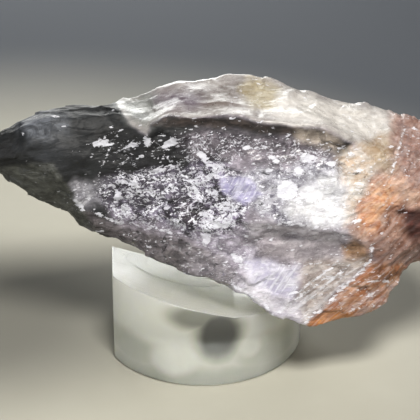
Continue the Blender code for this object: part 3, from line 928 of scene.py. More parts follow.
@dataclass(frozen=True)
class QuartzFinish:
    """Broken amethyst: its colours come with the shape, and its flakes and grain are made here. Its flakes,
    sparkles and threads are painted near white as glints, and its small facets are painted a little lighter
    or darker as painted light and shade.
    """

    effects: Effects
    # near white of the stripes and white grain, and of the painted glints on flakes
    pale_grain_and_glint: Colour = (226, 226, 234)
    soot: Colour = (16, 14, 17)
    glass_share: float = 0.1
    depth: float = 0.84
    sheen: float = 0.3
    bend: float = 1.544
    coat_roughness: float = 0.07
    fibre_turn: float = -32.0
    slab_turn: float = -52.0
    stripe_share: float = 0.55
    large_facets: float = 0.85
    small_facets: float = 2.1
    dark_crumbs: float = 1.5
    white_crumbs: float = 3.3
    crumb_share: float = 0.94
    small_flecks: float = 1.6
    tiny_flecks: float = 3.7
    flake_share: float = 0.9
    flake_shred: float = 1.9
    bump_strength: float = 0.7
    bump_height: float = 0.0004

    def stripes(self, graph: Graph, place: Value, fibre: Value) -> Value:
        """Masks fine parallel stripes, steep where the fibre is above 0 and low where it is below.

        Args:
            graph: The material's nodes.
            place: The place on the surface, in millimetres.
            fibre: How striped the surface is.

        Returns:
            The mask.
        """
        steep = graph.noise(graph.scaled(place, (2.7, 0.5, 0.2), (0.0, self.fibre_turn, 0.0)), 1.0, 3.0, 0.6)
        low = graph.noise(graph.scaled(place, (2.2, 0.5, 0.16), (0.0, self.slab_turn, 0.0)), 1.0, 4.0, 0.65)
        above = graph.math("MAXIMUM", fibre, 0.0)
        below = graph.math("MAXIMUM", graph.math("MULTIPLY", fibre, -1.0), 0.0)
        steep = graph.math("MULTIPLY", graph.rise(steep, 0.48, 0.60), above)
        low = graph.math("MULTIPLY", graph.rise(low, 0.46, 0.60), below)
        return graph.math("ADD", steep, low)

    def hollows(self, graph: Graph, lying: Value, gaps: Value, black: Value) -> Value:
        """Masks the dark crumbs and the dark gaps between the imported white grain.

        Args:
            graph: The material's nodes.
            lying: The place, drawn out along the stone.
            gaps: The slow noise that parts packed grain from gaps.
            black: How many dark places there are.

        Returns:
            The mask.
        """
        turned = graph.scaled(lying, (1.3, 1.0, 1.0), (40.0, 0.0, 25.0))
        crumbs = graph.placed(self.effects.crumbs, Place=turned, Scale=self.dark_crumbs, Amount=black)
        hollow = graph.math("MULTIPLY", graph.rise(gaps, 0.49, 0.43), graph.rise(black, 0.35, 0.75))
        crumbs = graph.math("MULTIPLY", crumbs.outputs["Mask"], 0.85)
        return graph.math("MAXIMUM", crumbs, graph.math("MULTIPLY", hollow, 0.9))

    def flakes(self, graph: Graph, warped: Value, lying: Value, white: Value, flake: Value) -> Value:
        """Masks the flakes that are painted near white as glints, from the large ones of the shape down to
        tiny sparkles and thin threads.

        Args:
            graph: The material's nodes.
            warped: The place, pushed about a little.
            lying: The same, drawn out along the stone.
            white: How many small flakes there are.
            flake: The distance inside the large flakes.

        Returns:
            The mask.
        """
        few = graph.math("MULTIPLY_ADD", white, 0.5, -0.03)
        many = graph.math("MULTIPLY", white, 0.8)
        flecks = self.effects.flecks
        small = graph.placed(flecks, Place=lying, Scale=self.small_flecks, Amount=few, Ragged=0.9)
        tiny = graph.placed(flecks, Place=lying, Scale=self.tiny_flecks, Amount=many, Ragged=0.4)
        shred = graph.math("SUBTRACT", graph.noise(lying, 2.2, 4.0, 0.7), 0.5)
        large = graph.rise(graph.math("MULTIPLY_ADD", shred, self.flake_shred, flake), 0.0, 0.05)
        drawn = graph.scaled(warped, (0.6, 1.0, 1.0), (0.0, 10.0, 0.0))
        threads = graph.placed(self.effects.threads, Place=drawn, Scale=1.0, Amount=white)
        # tiny painted sparkles
        dust_and_sparkle = graph.math("MULTIPLY", tiny.outputs["Mask"], 0.75)
        mask = graph.math("MAXIMUM", large, graph.math("MAXIMUM", small.outputs["Mask"], dust_and_sparkle))
        return graph.math("MAXIMUM", mask, graph.math("MULTIPLY", threads.outputs["Mask"], 0.8))

    def build(self) -> bpy.types.Material:
        """Builds the material.

        Returns:
            The finished material.
        """
        material, graph, shader = new_material("rough_quartz")
        place = graph.millimetres()
        tint = graph.layer(Finish.TINT)
        cloud = graph.layer(Finish.CLOUD)
        white, black, rough = graph.parts(graph.layer(Finish.GRAIN))
        flake, fibre, chip = graph.parts(graph.layer(Finish.MARKS))
        warped = graph.warped(place, 1.1, 0.35)
        lying = graph.scaled(warped, (0.42, 1.0, 1.15), (0.0, 12.0, 0.0))
        pale_grain_and_glint = opaque(self.pale_grain_and_glint)

        drifting = graph.noise(graph.scaled(place, (0.7, 1.0, 1.0), (0.0, 20.0, 0.0)), 0.75, 6.0, 0.68, 0.9)
        colour = graph.mix(graph.rise(drifting, 0.40, 0.60), tint, cloud)
        flattened = graph.scaled(warped, (0.7, 1.0, 1.0))
        large_facets = graph.placed(self.effects.facets, Place=flattened, Scale=self.large_facets)
        small_facets = graph.placed(self.effects.facets, Place=lying, Scale=self.small_facets)
        split = graph.math("MINIMUM", graph.math("ADD", chip, 0.05), 1.0)
        # Painted light and shade: each facet's colour is made a little lighter or darker, as if it caught the
        # light its own way.
        large_shade = graph.rise(large_facets.outputs["Shade"], 0.0, 1.0, -0.17, 0.17)
        small_shade = graph.rise(small_facets.outputs["Shade"], 0.0, 1.0, -0.24, 0.26)
        facet_shade = graph.math("MULTIPLY", graph.math("ADD", large_shade, small_shade), split)
        shaded = graph.add("ShaderNodeVectorMath", operation="SCALE")
        graph.feed(shaded.inputs[0], colour)
        graph.feed(shaded.inputs["Scale"], graph.math("MULTIPLY_ADD", facet_shade, self.depth, self.depth))
        colour = shaded.outputs[0]

        stripe = self.stripes(graph, place, fibre)
        colour = graph.mix(graph.math("MULTIPLY", stripe, self.stripe_share), colour, pale_grain_and_glint)
        gaps = graph.noise(graph.scaled(place, (0.8, 1.0, 1.0), (0.0, 18.0, 0.0)), 0.6, 5.0, 0.62, 0.6)
        colour = graph.mix(self.hollows(graph, lying, gaps, black), colour, opaque(self.soot))
        packed = graph.rise(gaps, 0.47, 0.54)
        dense = graph.math("MULTIPLY", white, graph.math("MULTIPLY_ADD", packed, 0.65, 0.4))
        longer = graph.scaled(place, (0.75, 1.0, 1.0))
        crumbs = graph.placed(self.effects.crumbs, Place=longer, Scale=self.white_crumbs, Amount=dense)
        colour = graph.mix(graph.math("MULTIPLY", crumbs.outputs["Mask"], self.crumb_share), colour, pale_grain_and_glint)
        # Painted glints: the flakes, sparkles and threads are painted near white.
        flakes = self.flakes(graph, warped, lying, white, flake)
        glint_tone = graph.mix(0.22, pale_grain_and_glint, tint)
        colour = graph.mix(graph.math("MULTIPLY", flakes, self.flake_share), colour, glint_tone)
        graph.feed(shader.inputs["Base Color"], colour)

        patchy = graph.noise(place, 1.3, 3.0, 0.6)
        roughness = graph.math("ADD", rough, graph.math("MULTIPLY_ADD", patchy, 0.3, -0.15))
        roughness = graph.math("MINIMUM", graph.math("MAXIMUM", roughness, 0.08), 0.75)
        graph.feed(shader.inputs["Roughness"], roughness)
        shader.inputs["IOR"].default_value = self.bend
        shader.inputs["Specular IOR Level"].default_value = self.sheen
        shader.inputs["Transmission Weight"].default_value = self.glass_share
        shader.inputs["Coat Roughness"].default_value = self.coat_roughness
        gloss = graph.math("MULTIPLY", graph.rise(patchy, 0.4, 0.65, 0.0, 0.22), graph.rise(rough, 0.55, 0.4))
        graph.feed(shader.inputs["Coat Weight"], gloss)

        relief = graph.placed(self.effects.relief, Place=lying, Coarse=1.3, Fine=5.0, Share=0.3)
        fine = graph.math("MULTIPLY", relief.outputs["Height"], graph.math("MULTIPLY_ADD", chip, 0.75, 0.2))
        small_share = graph.math("MULTIPLY", chip, 1.5)
        large_share = graph.math("MULTIPLY_ADD", chip, 0.75, 0.1)
        broken = graph.math("MULTIPLY_ADD", small_facets.outputs["Height"], small_share, fine)
        broken = graph.math("MULTIPLY_ADD", large_facets.outputs["Height"], large_share, broken)
        stepped = graph.math("MULTIPLY_ADD", stripe, 0.22, broken)
        raised = graph.math("MULTIPLY_ADD", flakes, 0.3, stepped)
        graph.bump(shader, raised, self.bump_strength, self.bump_height)
        return material


@dataclass(frozen=True)
class PaintedSpot:
    """A soft spot on the front of the plastic, used for painted shade and for painted highlights."""

    middle: Point2
    half: Point2
    depth: float


@dataclass(frozen=True)
class PlasticFinish:
    """Clear cast plastic gone a little milky and green, with saw marks on its upward faces."""

    effects: Effects
    body: Colour = (247, 248, 235)
    milk: Colour = (238, 240, 228)
    dust_and_sparkle: Colour = (246, 247, 240)
    # colour of the painted shade and dark reflections in the front of the plastic
    shade: Colour = (84, 85, 85)
    saw_centre: Point2 = (-3.0, 2.3)
    saw_radius: float = 6.0
    clearness: float = 0.6
    bend: float = 1.49
    glow_colour: Point3 = (1.0, 1.0, 0.85)
    glow_depth: float = 0.012
    deep_colour: Point3 = (0.92, 0.94, 0.80)
    deep_density: float = 9.0
    bump_strength: float = 0.5
    bump_height: float = 0.00022
    # spots of painted shade and dark reflection in the front of the plastic
    painted_shades: tuple[PaintedSpot, ...] = (
        PaintedSpot((0.0, 9.6), (6.0, 2.4), 0.8),
        PaintedSpot((2.0, 7.2), (4.0, 5.6), 1.0),
        PaintedSpot((-8.4, 3.4), (4.8, 3.2), 0.5),
        PaintedSpot((8.4, 3.2), (6.6, 3.8), 0.5),
        PaintedSpot((1.0, -0.4), (26.0, 4.4), 0.55),
    )
    # painted highlights: spots kept clear of the painted shade
    glints: tuple[PaintedSpot, ...] = (
        PaintedSpot((-3.6, 3.3), (3.6, 2.6), 1.0),
        PaintedSpot((5.8, 4.6), (1.8, 1.8), 0.8),
    )

    def spots(self, graph: Graph, place: Value, haze: Value, marks: tuple[PaintedSpot, ...]) -> Value:
        """Masks a few soft places on the front of the plastic, for painted shade and painted highlights.

        Args:
            graph: The material's nodes.
            place: The place on the surface, in millimetres.
            haze: A slow noise that makes the edges uneven.
            marks: The places.

        Returns:
            The output that is high inside the places.
        """
        mask = None
        for mark in marks:
            wide, tall = mark.half
            middle = (mark.middle[0] / wide, 0.0, mark.middle[1] / tall)
            gap = graph.vector("DISTANCE", graph.scaled(place, (1.0 / wide, 0.0, 1.0 / tall)), middle)
            uneven = graph.math("MULTIPLY_ADD", haze, 0.5, gap.outputs["Value"])
            spot = graph.rise(uneven, 1.3, 0.65, 0.0, mark.depth)
            mask = spot if mask is None else graph.math("MAXIMUM", mask, spot)
        return mask

    def sawn(self, graph: Graph, place: Value, upward: Value) -> Value:
        """The height of the saw's marks on the top: one round groove, rings and fine straight lines.

        Args:
            graph: The material's nodes.
            place: The place on the surface, in millimetres.
            upward: How far the surface faces up.

        Returns:
            The height.
        """
        offset = graph.vector("SUBTRACT", graph.scaled(place, (1.0, 1.0, 0.0)), (*self.saw_centre, 0.0))
        length = graph.add("ShaderNodeVectorMath", operation="LENGTH")
        graph.feed(length.inputs[0], offset.outputs[0])
        radius = length.outputs["Value"]
        near_side = graph.rise(graph.parts(offset.outputs[0])[1], -2.2, -3.6)
        beside = graph.math("ABSOLUTE", graph.math("SUBTRACT", radius, self.saw_radius))
        groove = graph.math("MULTIPLY", graph.rise(beside, 0.05, 0.28, 1.0, 0.0), near_side)
        rings = graph.add("ShaderNodeCombineXYZ")
        graph.feed(rings.inputs[0], radius)
        marks = graph.noise(rings.outputs[0], 2.6, 4.0, 0.75)
        lines = graph.noise(graph.scaled(place, (0.08, 2.6, 0.3), (0.0, 0.0, 9.0)), 1.0, 4.0, 0.7)
        rough = graph.math("MULTIPLY", graph.math("MULTIPLY_ADD", lines, 0.8, marks), upward)
        return graph.math("MULTIPLY_ADD", groove, graph.math("MULTIPLY", upward, -1.6), rough)

    def build(self) -> bpy.types.Material:
        """Builds the material.

        Returns:
            The finished material.
        """
        material, graph, shader = new_material("clear_plastic")
        place = graph.millimetres()
        facing = graph.parts(graph.add("ShaderNodeNewGeometry").outputs["Normal"])
        upward = graph.rise(facing[2], 0.6, 0.9)
        frontward = graph.rise(facing[1], -0.25, -0.6)
        haze = graph.noise(place, 0.16, 3.0, 0.5)
        shell = graph.mix(haze, opaque(self.body), opaque(self.milk))
        dust_and_sparkle = graph.placed(self.effects.flecks, Place=place, Scale=0.9, Amount=0.14, Ragged=0.4)
        shell = graph.mix(graph.math("MULTIPLY", dust_and_sparkle.outputs["Mask"], 0.5), shell, opaque(self.dust_and_sparkle))
        # Painted shade and dark reflections in the front of the plastic, kept off the painted highlights.
        bright = self.spots(graph, place, haze, self.glints)
        painted_shade = self.spots(graph, place, haze, self.painted_shades)
        painted_shade = graph.math("MULTIPLY", painted_shade, graph.math("SUBTRACT", 1.0, bright))
        shell = graph.mix(graph.math("MULTIPLY", painted_shade, frontward), shell, opaque(self.shade))
        graph.feed(shader.inputs["Base Color"], shell)

        wavy = graph.placed(self.effects.relief, Place=place, Coarse=0.12, Fine=0.9, Share=0.12)
        wavy = graph.math("MULTIPLY", wavy.outputs["Height"], 0.8)
        height = graph.math("ADD", self.sawn(graph, place, upward), wavy)
        graph.bump(shader, height, self.bump_strength, self.bump_height)
        smear = graph.rise(graph.noise(place, 0.35, 4.0, 0.6), 0.3, 0.75, 0.06, 0.14)
        graph.feed(shader.inputs["Roughness"], graph.math("ADD", smear, graph.math("MULTIPLY", upward, 0.12)))
        shader.inputs["IOR"].default_value = self.bend
        shader.inputs["Transmission Weight"].default_value = self.clearness
        shader.inputs["Subsurface Weight"].default_value = 1.0
        shader.inputs["Subsurface Radius"].default_value = self.glow_colour
        shader.inputs["Subsurface Scale"].default_value = self.glow_depth
        depth = graph.add("ShaderNodeVolumeAbsorption")
        depth.inputs["Color"].default_value = (*self.deep_colour, 1.0)
        depth.inputs["Density"].default_value = self.deep_density
        output = next(node for node in material.node_tree.nodes if node.type == "OUTPUT_MATERIAL")
        graph.feed(output.inputs["Volume"], depth.outputs[0])
        return material


@dataclass(frozen=True)
class Break:
    """One size of the cells that a fracture splits the surface into."""

    size: float
    scoop: float
    lean: float


@dataclass
class Shard:
    """The stone: the solid's own form, broken up finely and coloured patch by patch."""

    view: FrontView
    voxel: float = 0.222
    smoothing: int = 4
    smoothing_share: float = 0.6
    base_tone: Colour = (150, 142, 152)
    breaks: tuple[Break, ...] = (Break(3.1, 0.12, 0.2), Break(1.35, 0.11, 0.18), Break(0.62, 0.08, 0.12))
    lump_size: float = 5.0
    lump_height: float = 0.16
    plate_step: float = 1.25
    plate_slope: float = 0.62
    plate_height: float = 0.16
    rust_start: float = 15.0
    rust_full: float = 24.0
    flake_reach: float = 0.6
    rest_gap: float = 0.2
    rest_margin: float = 1.0
    inset: float = 0.02
    back_ragged: float = 2.0
    back_soft: float = 1.6
    grit: Grit = field(default_factory=lambda: Grit(5))

    def remeshed(self) -> bpy.types.Object:
        """Copies the solid and gives it an even, fine mesh.

        Returns:
            The new object, in millimetres.
        """
        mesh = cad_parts[STONE_NODE].data.copy()
        mesh.materials.clear()
        rough = bpy.data.objects.new("shard_blank", mesh)
        bpy.context.scene.collection.objects.link(rough)
        mesh.transform(Matrix.Scale(1000.0, 4))
        remesh = rough.modifiers.new("even_mesh", "REMESH")
        remesh.mode = "VOXEL"
        remesh.voxel_size = self.voxel
        bpy.context.view_layer.update()
        ready = rough.evaluated_get(bpy.context.evaluated_depsgraph_get())
        fine = bpy.data.meshes.new_from_object(ready)
        bpy.data.objects.remove(rough)
        piece = bpy.data.objects.new("amethyst_shard", fine)
        bpy.context.scene.collection.objects.link(piece)
        return piece

    def smoothed(self, mesh: bpy.types.Mesh, points: np.ndarray) -> np.ndarray:
        """Eases the steps of the coarse solid out of the fine mesh.

        Args:
            mesh: The fine mesh.
            points: Its vertices.

        Returns:
            The eased vertices.
        """
        edges = np.zeros(len(mesh.edges) * 2, dtype=np.int64)
        mesh.edges.foreach_get("vertices", edges)
        edges = edges.reshape(-1, 2)
        both = np.concatenate([edges, edges[:, ::-1]])
        count = np.bincount(both[:, 0], minlength=len(points)).astype(float)
        for _ in range(self.smoothing):
            sums = [
                np.bincount(both[:, 0], weights=points[both[:, 1], axis], minlength=len(points))
                for axis in range(3)
            ]
            mean = np.stack(sums, axis=1) / count[:, None]
            points = points + self.smoothing_share * (mean - points)
        return points

    def broken(self, points: np.ndarray, chip: np.ndarray, rust: np.ndarray) -> np.ndarray:
        """How far fracture facets, chips and plates move the surface.

        Args:
            points: The vertices in millimetres.
            chip: How broken the surface is there, about 0 to 1.3.
            rust: How far into the rusty end, 0 to 1.

        Returns:
            The shift along the normal for each vertex.
        """
        wobble = [self.grit.swell(points + 50.0 * axis, 2.4, 2) for axis in (1, 2, 3)]
        warped = points + 0.5 * np.stack(wobble, axis=1)
        lying = warped * np.array((0.62, 1.0, 1.15))
        shift = self.lump_height * self.grit.swell(points, self.lump_size, 3)
        for cell in self.breaks:
            distance, way, dice = Grit(int(cell.size * 100)).chips(lying, cell.size)
            tilt = np.einsum("ij,ij->i", way, dice - 0.5) * 2.0
            scoop = (distance - 0.45) * cell.scoop * cell.size
            amount = chip if cell.size < 2.0 else 0.5 + 0.5 * chip
            shift += amount * (scoop + tilt * cell.lean * cell.size * 0.5)
        wave = 0.9 * self.grit.swell(points, 3.0, 2)
        climb = (points[:, 2] - self.plate_slope * points[:, 0] + wave) / self.plate_step
        shift += rust * self.plate_height * (climb - np.floor(climb) - 0.5)
        return shift

    def painted(self, points: np.ndarray, normals: np.ndarray) -> dict[Finish, np.ndarray]:
        """Works out the colour and grain of every vertex.

        Args:
            points: The vertices in millimetres.
            normals: Their directions.

        Returns:
            Three numbers to a vertex for each layer.
        """
        places = self.view.flat(points)
        wander = np.stack([self.grit.swell(points + 90.0 * axis, 2.6, 4) for axis in (1, 2)], axis=1)
        facing = smooth_step(-0.35, 0.05, -(normals @ self.view.inward) + 0.25 * wander[:, 0])
        turned = 1.0 - facing
        count = len(points)
        tint = np.tile(linear(self.base_tone), (count, 1))
        cloudy = self.grit.swell(points + 200.0, 4.0, 4)
        tint *= (1.0 + 0.5 * cloudy)[:, None]
        cloud = tint * 0.6
        plain = {"white": 0.35, "black": 0.3, "rough": 0.33, "chip": 0.8, "fibre": 0.0}
        values = {name: np.full(count, level) for name, level in plain.items()}
        for patch in PATCHES:
            depth = patch.inside(places + (patch.ragged + self.back_ragged * turned)[:, None] * wander)
            soft = patch.soft + self.back_soft * turned
            mask = smooth_step(-soft, soft, depth) * patch.strength
            if patch.side is Side.FRONT:
                mask = mask * facing
            tint += mask[:, None] * (linear(patch.tone) - tint)
            cloud += mask[:, None] * (patch.cloud_tone - cloud)
            for name, layer in values.items():
                level = getattr(patch, name)
                if level is not None:
                    layer += mask * (level - layer)
        # The flakes and seams get a field that the material paints near white, as painted glints and edge
        # highlights.
        ragged = places + 0.16 * wander
        flake = np.max(np.stack([item.field(ragged) for item in (*FLAKES, *SEAMS)]), axis=0)
        flake = np.clip(flake, -self.flake_reach, self.flake_reach)
        flake = np.where(facing > 0.5, flake, -self.flake_reach)
        return {
            Finish.TINT: np.clip(tint, 0.004, 0.95),
            Finish.CLOUD: np.clip(cloud, 0.004, 0.95),
            Finish.GRAIN: np.stack([values["white"], values["black"], values["rough"]], axis=1),
            Finish.MARKS: np.stack([flake, values["fibre"], values["chip"]], axis=1),
        }

    def lifted(self, points: np.ndarray) -> np.ndarray:
        """Keeps the broken surface clear of the stand's sawn top.

        Args:
            points: The vertices in millimetres.

        Returns:
            The vertices, none of them in the stand.
        """
        stand = Stand()
        x, y, z = points[:, 0], points[:, 1], points[:, 2]
        above = x**2 + y**2 < (stand.radius + self.rest_margin) ** 2
        above &= x > -stand.left_at_back - self.rest_margin
        above &= y < stand.back(x) + self.rest_margin
        height = np.where(above, np.maximum(z, stand.seat(x, y) + self.rest_gap), z)
        return np.stack([x, y, height], axis=1)

    def build(self, material: bpy.types.Material) -> bpy.types.Object:
        """Builds and dresses the shard.

        Args:
            material: The stone's material.

        Returns:
            The finished piece, in metres.
        """
        piece = self.remeshed()
        mesh = piece.data
        flat = np.zeros(len(mesh.vertices) * 3)
        mesh.vertices.foreach_get("co", flat)
        original = flat.reshape(-1, 3).copy()
        points = self.smoothed(mesh, original)
        mesh.vertices.foreach_set("co", points.ravel())
        mesh.update()
        mesh.vertices.foreach_get("normal", flat)
        normals = flat.reshape(-1, 3).copy()
        layers = self.painted(points, normals)
        rust = smooth_step(self.rust_start, self.rust_full, points[:, 0])
        points = points + normals * self.broken(points, layers[Finish.MARKS][:, 2], rust)[:, None]
        points = self.lifted(points)
        points = np.clip(points, original.min(axis=0) + self.inset, original.max(axis=0) - self.inset)
        mesh.vertices.foreach_set("co", points.ravel() * MM)
        for finish, numbers in layers.items():
            layer = mesh.attributes.new(finish.value, "FLOAT_VECTOR", "POINT")
            layer.data.foreach_set("vector", numbers.ravel())
        mesh.update()
        mesh.polygons.foreach_set("use_smooth", np.ones(len(mesh.polygons), dtype=bool))
        mesh.materials.append(material)
        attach(piece, BODY)
        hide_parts(STONE_NODE)
        return piece


@dataclass
class Stand:
    """The clear block: a short round rod with two sawn sides and a sloping V-shaped top."""

    radius: float = 12.5
    left_at_front: float = 11.1
    left_at_back: float = 11.8
    back_at_left: float = 5.6
    back_turn: float = -0.1
    seat_height: float = 7.85
    fall_right: float = 0.25
    fall_back: float = 0.2
    valley: float = 3.9
    arc_steps: int = 180
    edge: float = 0.22
    edge_steps: int = 3
    edge_turn: float = 12.0

    def seat(self, x: float | np.ndarray, y: float | np.ndarray) -> float | np.ndarray:
        """The height of the sawn top at a place on it."""
        return self.seat_height - self.fall_right * np.minimum(x, self.valley) - self.fall_back * y

    def back(self, x: float | np.ndarray) -> float | np.ndarray:
        """Where the sawn back lies at this x."""
        return self.back_at_left + self.back_turn * (x + self.left_at_back)

    def outline(self) -> list[Point2]:
        """The foot's outline, with corners where the valley meets it.

        Returns:
            The corners in order round the foot.
        """
        start = math.pi + math.acos(self.left_at_front / self.radius)
        rise = self.back(0.0)
        a = 1.0 + self.back_turn**2
        b = 2.0 * self.back_turn * rise
        c = rise**2 - self.radius**2
        right = (-b + math.sqrt(b * b - 4.0 * a * c)) / (2.0 * a)
        end = math.asin(self.back(right) / self.radius) + 2.0 * math.pi
        angles = [start + (end - start) * step / self.arc_steps for step in range(self.arc_steps + 1)]
        valley_angle = 2.0 * math.pi - math.acos(self.valley / self.radius)
        clear = [angle for angle in angles if abs(angle - valley_angle) > 0.004]
        angles = sorted([*clear, valley_angle])
        points = [(self.radius * math.cos(angle), self.radius * math.sin(angle)) for angle in angles]
        points.append((self.valley, self.back(self.valley)))
        points.append((-self.left_at_back, self.back_at_left))
        return points

    def build(self, material: bpy.types.Material) -> bpy.types.Object:
        """Builds and dresses the stand.

        Args:
            material: The plastic's material.

        Returns:
            The finished piece, in metres.
        """
        block = bmesh.new()
        corners = self.outline()
        low = [block.verts.new((x * MM, y * MM, 0.0)) for x, y in corners]
        high = [block.verts.new((x * MM, y * MM, self.seat(x, y) * MM)) for x, y in corners]
        block.faces.new(list(reversed(low)))
        count = len(corners)
        for index in range(count):
            after = (index + 1) % count
            block.faces.new((low[index], low[after], high[after], high[index]))
        rear = count - 2
        before = [index for index in range(rear) if corners[index][1] < 0.0]
        front = min(before, key=lambda index: abs(corners[index][0] - self.valley))
        block.faces.new([high[index] for index in range(front, rear + 1)])
        block.faces.new([high[index] for index in (*range(rear, count), *range(0, front + 1))])
        bmesh.ops.recalc_face_normals(block, faces=block.faces)
        mesh = bpy.data.meshes.new("stand_block")
        block.to_mesh(mesh)
        block.free()
        piece = bpy.data.objects.new("stand_block", mesh)
        bpy.context.scene.collection.objects.link(piece)
        mesh.materials.append(material)
        mesh.polygons.foreach_set("use_smooth", np.ones(len(mesh.polygons), dtype=bool))
        eased = piece.modifiers.new("eased_edges", "BEVEL")
        eased.width = self.edge * MM
        eased.segments = self.edge_steps
        eased.limit_method = "ANGLE"
        eased.angle_limit = math.radians(self.edge_turn)
        eased.harden_normals = True
        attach(piece, BODY)
        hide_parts(STAND_NODE)
        return piece


@dataclass(frozen=True)
class Lamp:
    """One soft square light, in millimetres and watts."""

    name: str
    place: Point3
    aim: Point3
    size: float
    watts: float
    tone: Colour

    def build(self) -> None:
        """Adds the light, which the camera doesn't see."""
        light = bpy.data.lights.new(self.name, "AREA")
        light.shape = "SQUARE"
        light.size = self.size * MM
        light.energy = self.watts
        light.color = tuple(linear(self.tone))
        item = bpy.data.objects.new(self.name, light)
        item.location = Vector(self.place) * MM
        item.rotation_euler = (Vector(self.aim) - Vector(self.place)).to_track_quat("-Z", "Y").to_euler()
        item.visible_camera = False
        bpy.context.scene.collection.objects.link(item)


LAMPS: tuple[Lamp, ...] = (
    Lamp("overhead", (40.0, -150.0, 290.0), (5.0, 0.0, 15.0), 90.0, 1.5, (255, 252, 246)),
    Lamp("behind", (70.0, 190.0, 230.0), (5.0, 0.0, 20.0), 120.0, 0.16, (250, 251, 255)),
    Lamp("left_fill", (-250.0, -150.0, 70.0), (-4.0, -4.0, 4.0), 120.0, 0.26, (250, 251, 255)),
    Lamp("low_back", (-40.0, 230.0, 55.0), (-4.0, 0.0, 6.0), 150.0, 0.48, (252, 253, 250)),
    Lamp("low_front", (-110.0, -240.0, 24.0), (-4.0, 0.0, 5.0), 40.0, 0.17, (252, 253, 250)),
    Lamp("right", (240.0, -90.0, 80.0), (10.0, 0.0, 18.0), 110.0, 0.2, (255, 250, 244)),
)


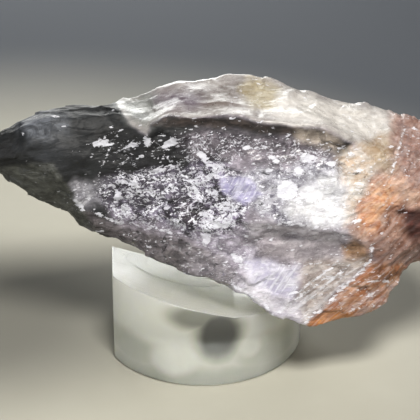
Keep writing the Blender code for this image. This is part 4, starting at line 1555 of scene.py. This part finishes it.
@dataclass
class Studio:
    """The floor, the sweep behind it, the lights and the camera. The floor's sizes are in metres."""

    view: FrontView
    lens: float = 147.2
    flat_reach: float = 0.32
    curve: float = 0.25
    curve_steps: int = 24
    wall_height: float = 1.2
    drop: float = 0.0001
    turns: int = 96
    floor_tone: Colour = (168, 166, 155)
    floor_grain: Colour = (160, 158, 146)
    # painted shadow: a darker patch of paper left of the object
    painted_shadow_tone: Colour = (88, 87, 81)
    painted_shadow_middle: Point3 = (-22.1, 3.0, 0.0)
    painted_shadow_stretch: Point3 = (0.65, 1.0, 1.0)
    # painted falloff of light: the paper darkens to this tone away from a point near the object
    painted_falloff_tone: Colour = (72, 75, 80)
    painted_falloff_middle: Point3 = (-32.0, 0.0, 0.0)
    air_tone: Colour = (196, 199, 205)
    air_strength: float = 0.3

    def profile(self) -> list[Point2]:
        """The sweep's section: flat, then curved up, then a wall.

        Returns:
            Distances from the middle and heights.
        """
        points = [(0.02, 0.0), (0.06, 0.0), (0.14, 0.0), (self.flat_reach, 0.0)]
        for step in range(1, self.curve_steps + 1):
            angle = math.radians(90.0 * step / self.curve_steps)
            out = self.flat_reach + self.curve * math.sin(angle)
            points.append((out, self.curve * (1.0 - math.cos(angle))))
        points.append((self.flat_reach + self.curve, self.wall_height))
        return points

    def paper(self, effects: Effects) -> bpy.types.Material:
        """Builds the floor's matt paper, which darkens away from the object as a painted falloff of light,
        and has a painted shadow left of the object.

        Args:
            effects: The shared surface effects.

        Returns:
            The finished material.
        """
        material, graph, shader = new_material("studio_paper")
        where = graph.millimetres()
        # Painted falloff of light: light round the object, darker further away.
        reach = graph.vector("DISTANCE", where, self.painted_falloff_middle)
        far = graph.rise(reach.outputs["Value"], 46.0, 104.0)
        grain = graph.placed(effects.relief, Place=where, Coarse=0.02, Fine=0.2, Share=0.2).outputs["Height"]
        near = graph.mix(graph.rise(grain, 0.3, 0.9), opaque(self.floor_tone), opaque(self.floor_grain))
        # Painted shadow: the paper darkens towards a point left of the object.
        away = graph.vector("DISTANCE", graph.scaled(where, self.painted_shadow_stretch), self.painted_shadow_middle)
        painted_shade = graph.rise(away.outputs["Value"], 29.0, 8.0, 0.0, 0.85)
        near = graph.mix(painted_shade, near, opaque(self.painted_shadow_tone))
        graph.feed(shader.inputs["Base Color"], graph.mix(far, near, opaque(self.painted_falloff_tone)))
        shader.inputs["Roughness"].default_value = 0.9
        shader.inputs["Specular IOR Level"].default_value = 0.1
        return material

    def floor(self, effects: Effects) -> bpy.types.Object:
        """Builds the floor, which curves up all round the object.

        Args:
            effects: The shared surface effects.

        Returns:
            The floor.
        """
        sweep = bmesh.new()
        middle = sweep.verts.new((0.0, 0.0, -self.drop))
        angles = [2.0 * math.pi * turn / self.turns for turn in range(self.turns)]
        rings = []
        for reach, z in self.profile():
            ring = [(reach * math.cos(angle), reach * math.sin(angle), z - self.drop) for angle in angles]
            rings.append([sweep.verts.new(place) for place in ring])
        for turn in range(self.turns):
            after = (turn + 1) % self.turns
            sweep.faces.new((middle, rings[0][turn], rings[0][after]))
            for ring, outer in zip(rings, rings[1:]):
                sweep.faces.new((ring[turn], outer[turn], outer[after], ring[after]))
        mesh = bpy.data.meshes.new("studio_floor")
        sweep.to_mesh(mesh)
        sweep.free()
        floor = bpy.data.objects.new("studio_floor", mesh)
        bpy.context.scene.collection.objects.link(floor)
        mesh.materials.append(self.paper(effects))
        mesh.polygons.foreach_set("use_smooth", np.ones(len(mesh.polygons), dtype=bool))
        return floor

    def lights(self) -> None:
        """Sets the soft lights and the even light all round."""
        for lamp in LAMPS:
            lamp.build()
        world = bpy.data.worlds.new("studio_air")
        world.use_nodes = True
        back = world.node_tree.nodes["Background"]
        back.inputs["Color"].default_value = opaque(self.air_tone)
        back.inputs["Strength"].default_value = self.air_strength
        bpy.context.scene.world = world

    def camera(self) -> None:
        """Sets the camera at the front view."""
        data = bpy.data.cameras.new("picture_camera")
        data.lens = self.lens
        data.sensor_width = 36.0
        data.clip_start = 0.01
        data.clip_end = 10.0
        item = bpy.data.objects.new("picture_camera", data)
        item.location = Vector(self.view.eye) * MM
        item.rotation_euler = (math.radians(90.0) - self.view.tilt, 0.0, 0.0)
        bpy.context.scene.collection.objects.link(item)
        bpy.context.scene.camera = item


def main() -> None:
    """Builds every piece in order and reports each one."""
    logging.basicConfig(level=logging.INFO, format="%(message)s")
    bpy.context.scene.view_settings.view_transform = "Standard"
    effects = Effects.build()
    view = FrontView()
    studio = Studio(view)
    studio.camera()
    studio.floor(effects)
    studio.lights()
    LOG.info("studio ready")
    shard = Shard(view).build(QuartzFinish(effects).build())
    LOG.info("%s: %d faces", shard.name, len(shard.data.polygons))
    stand = Stand().build(PlasticFinish(effects).build())
    LOG.info("%s: %d faces", stand.name, len(stand.data.polygons))


if __name__ == "__main__":
    main()
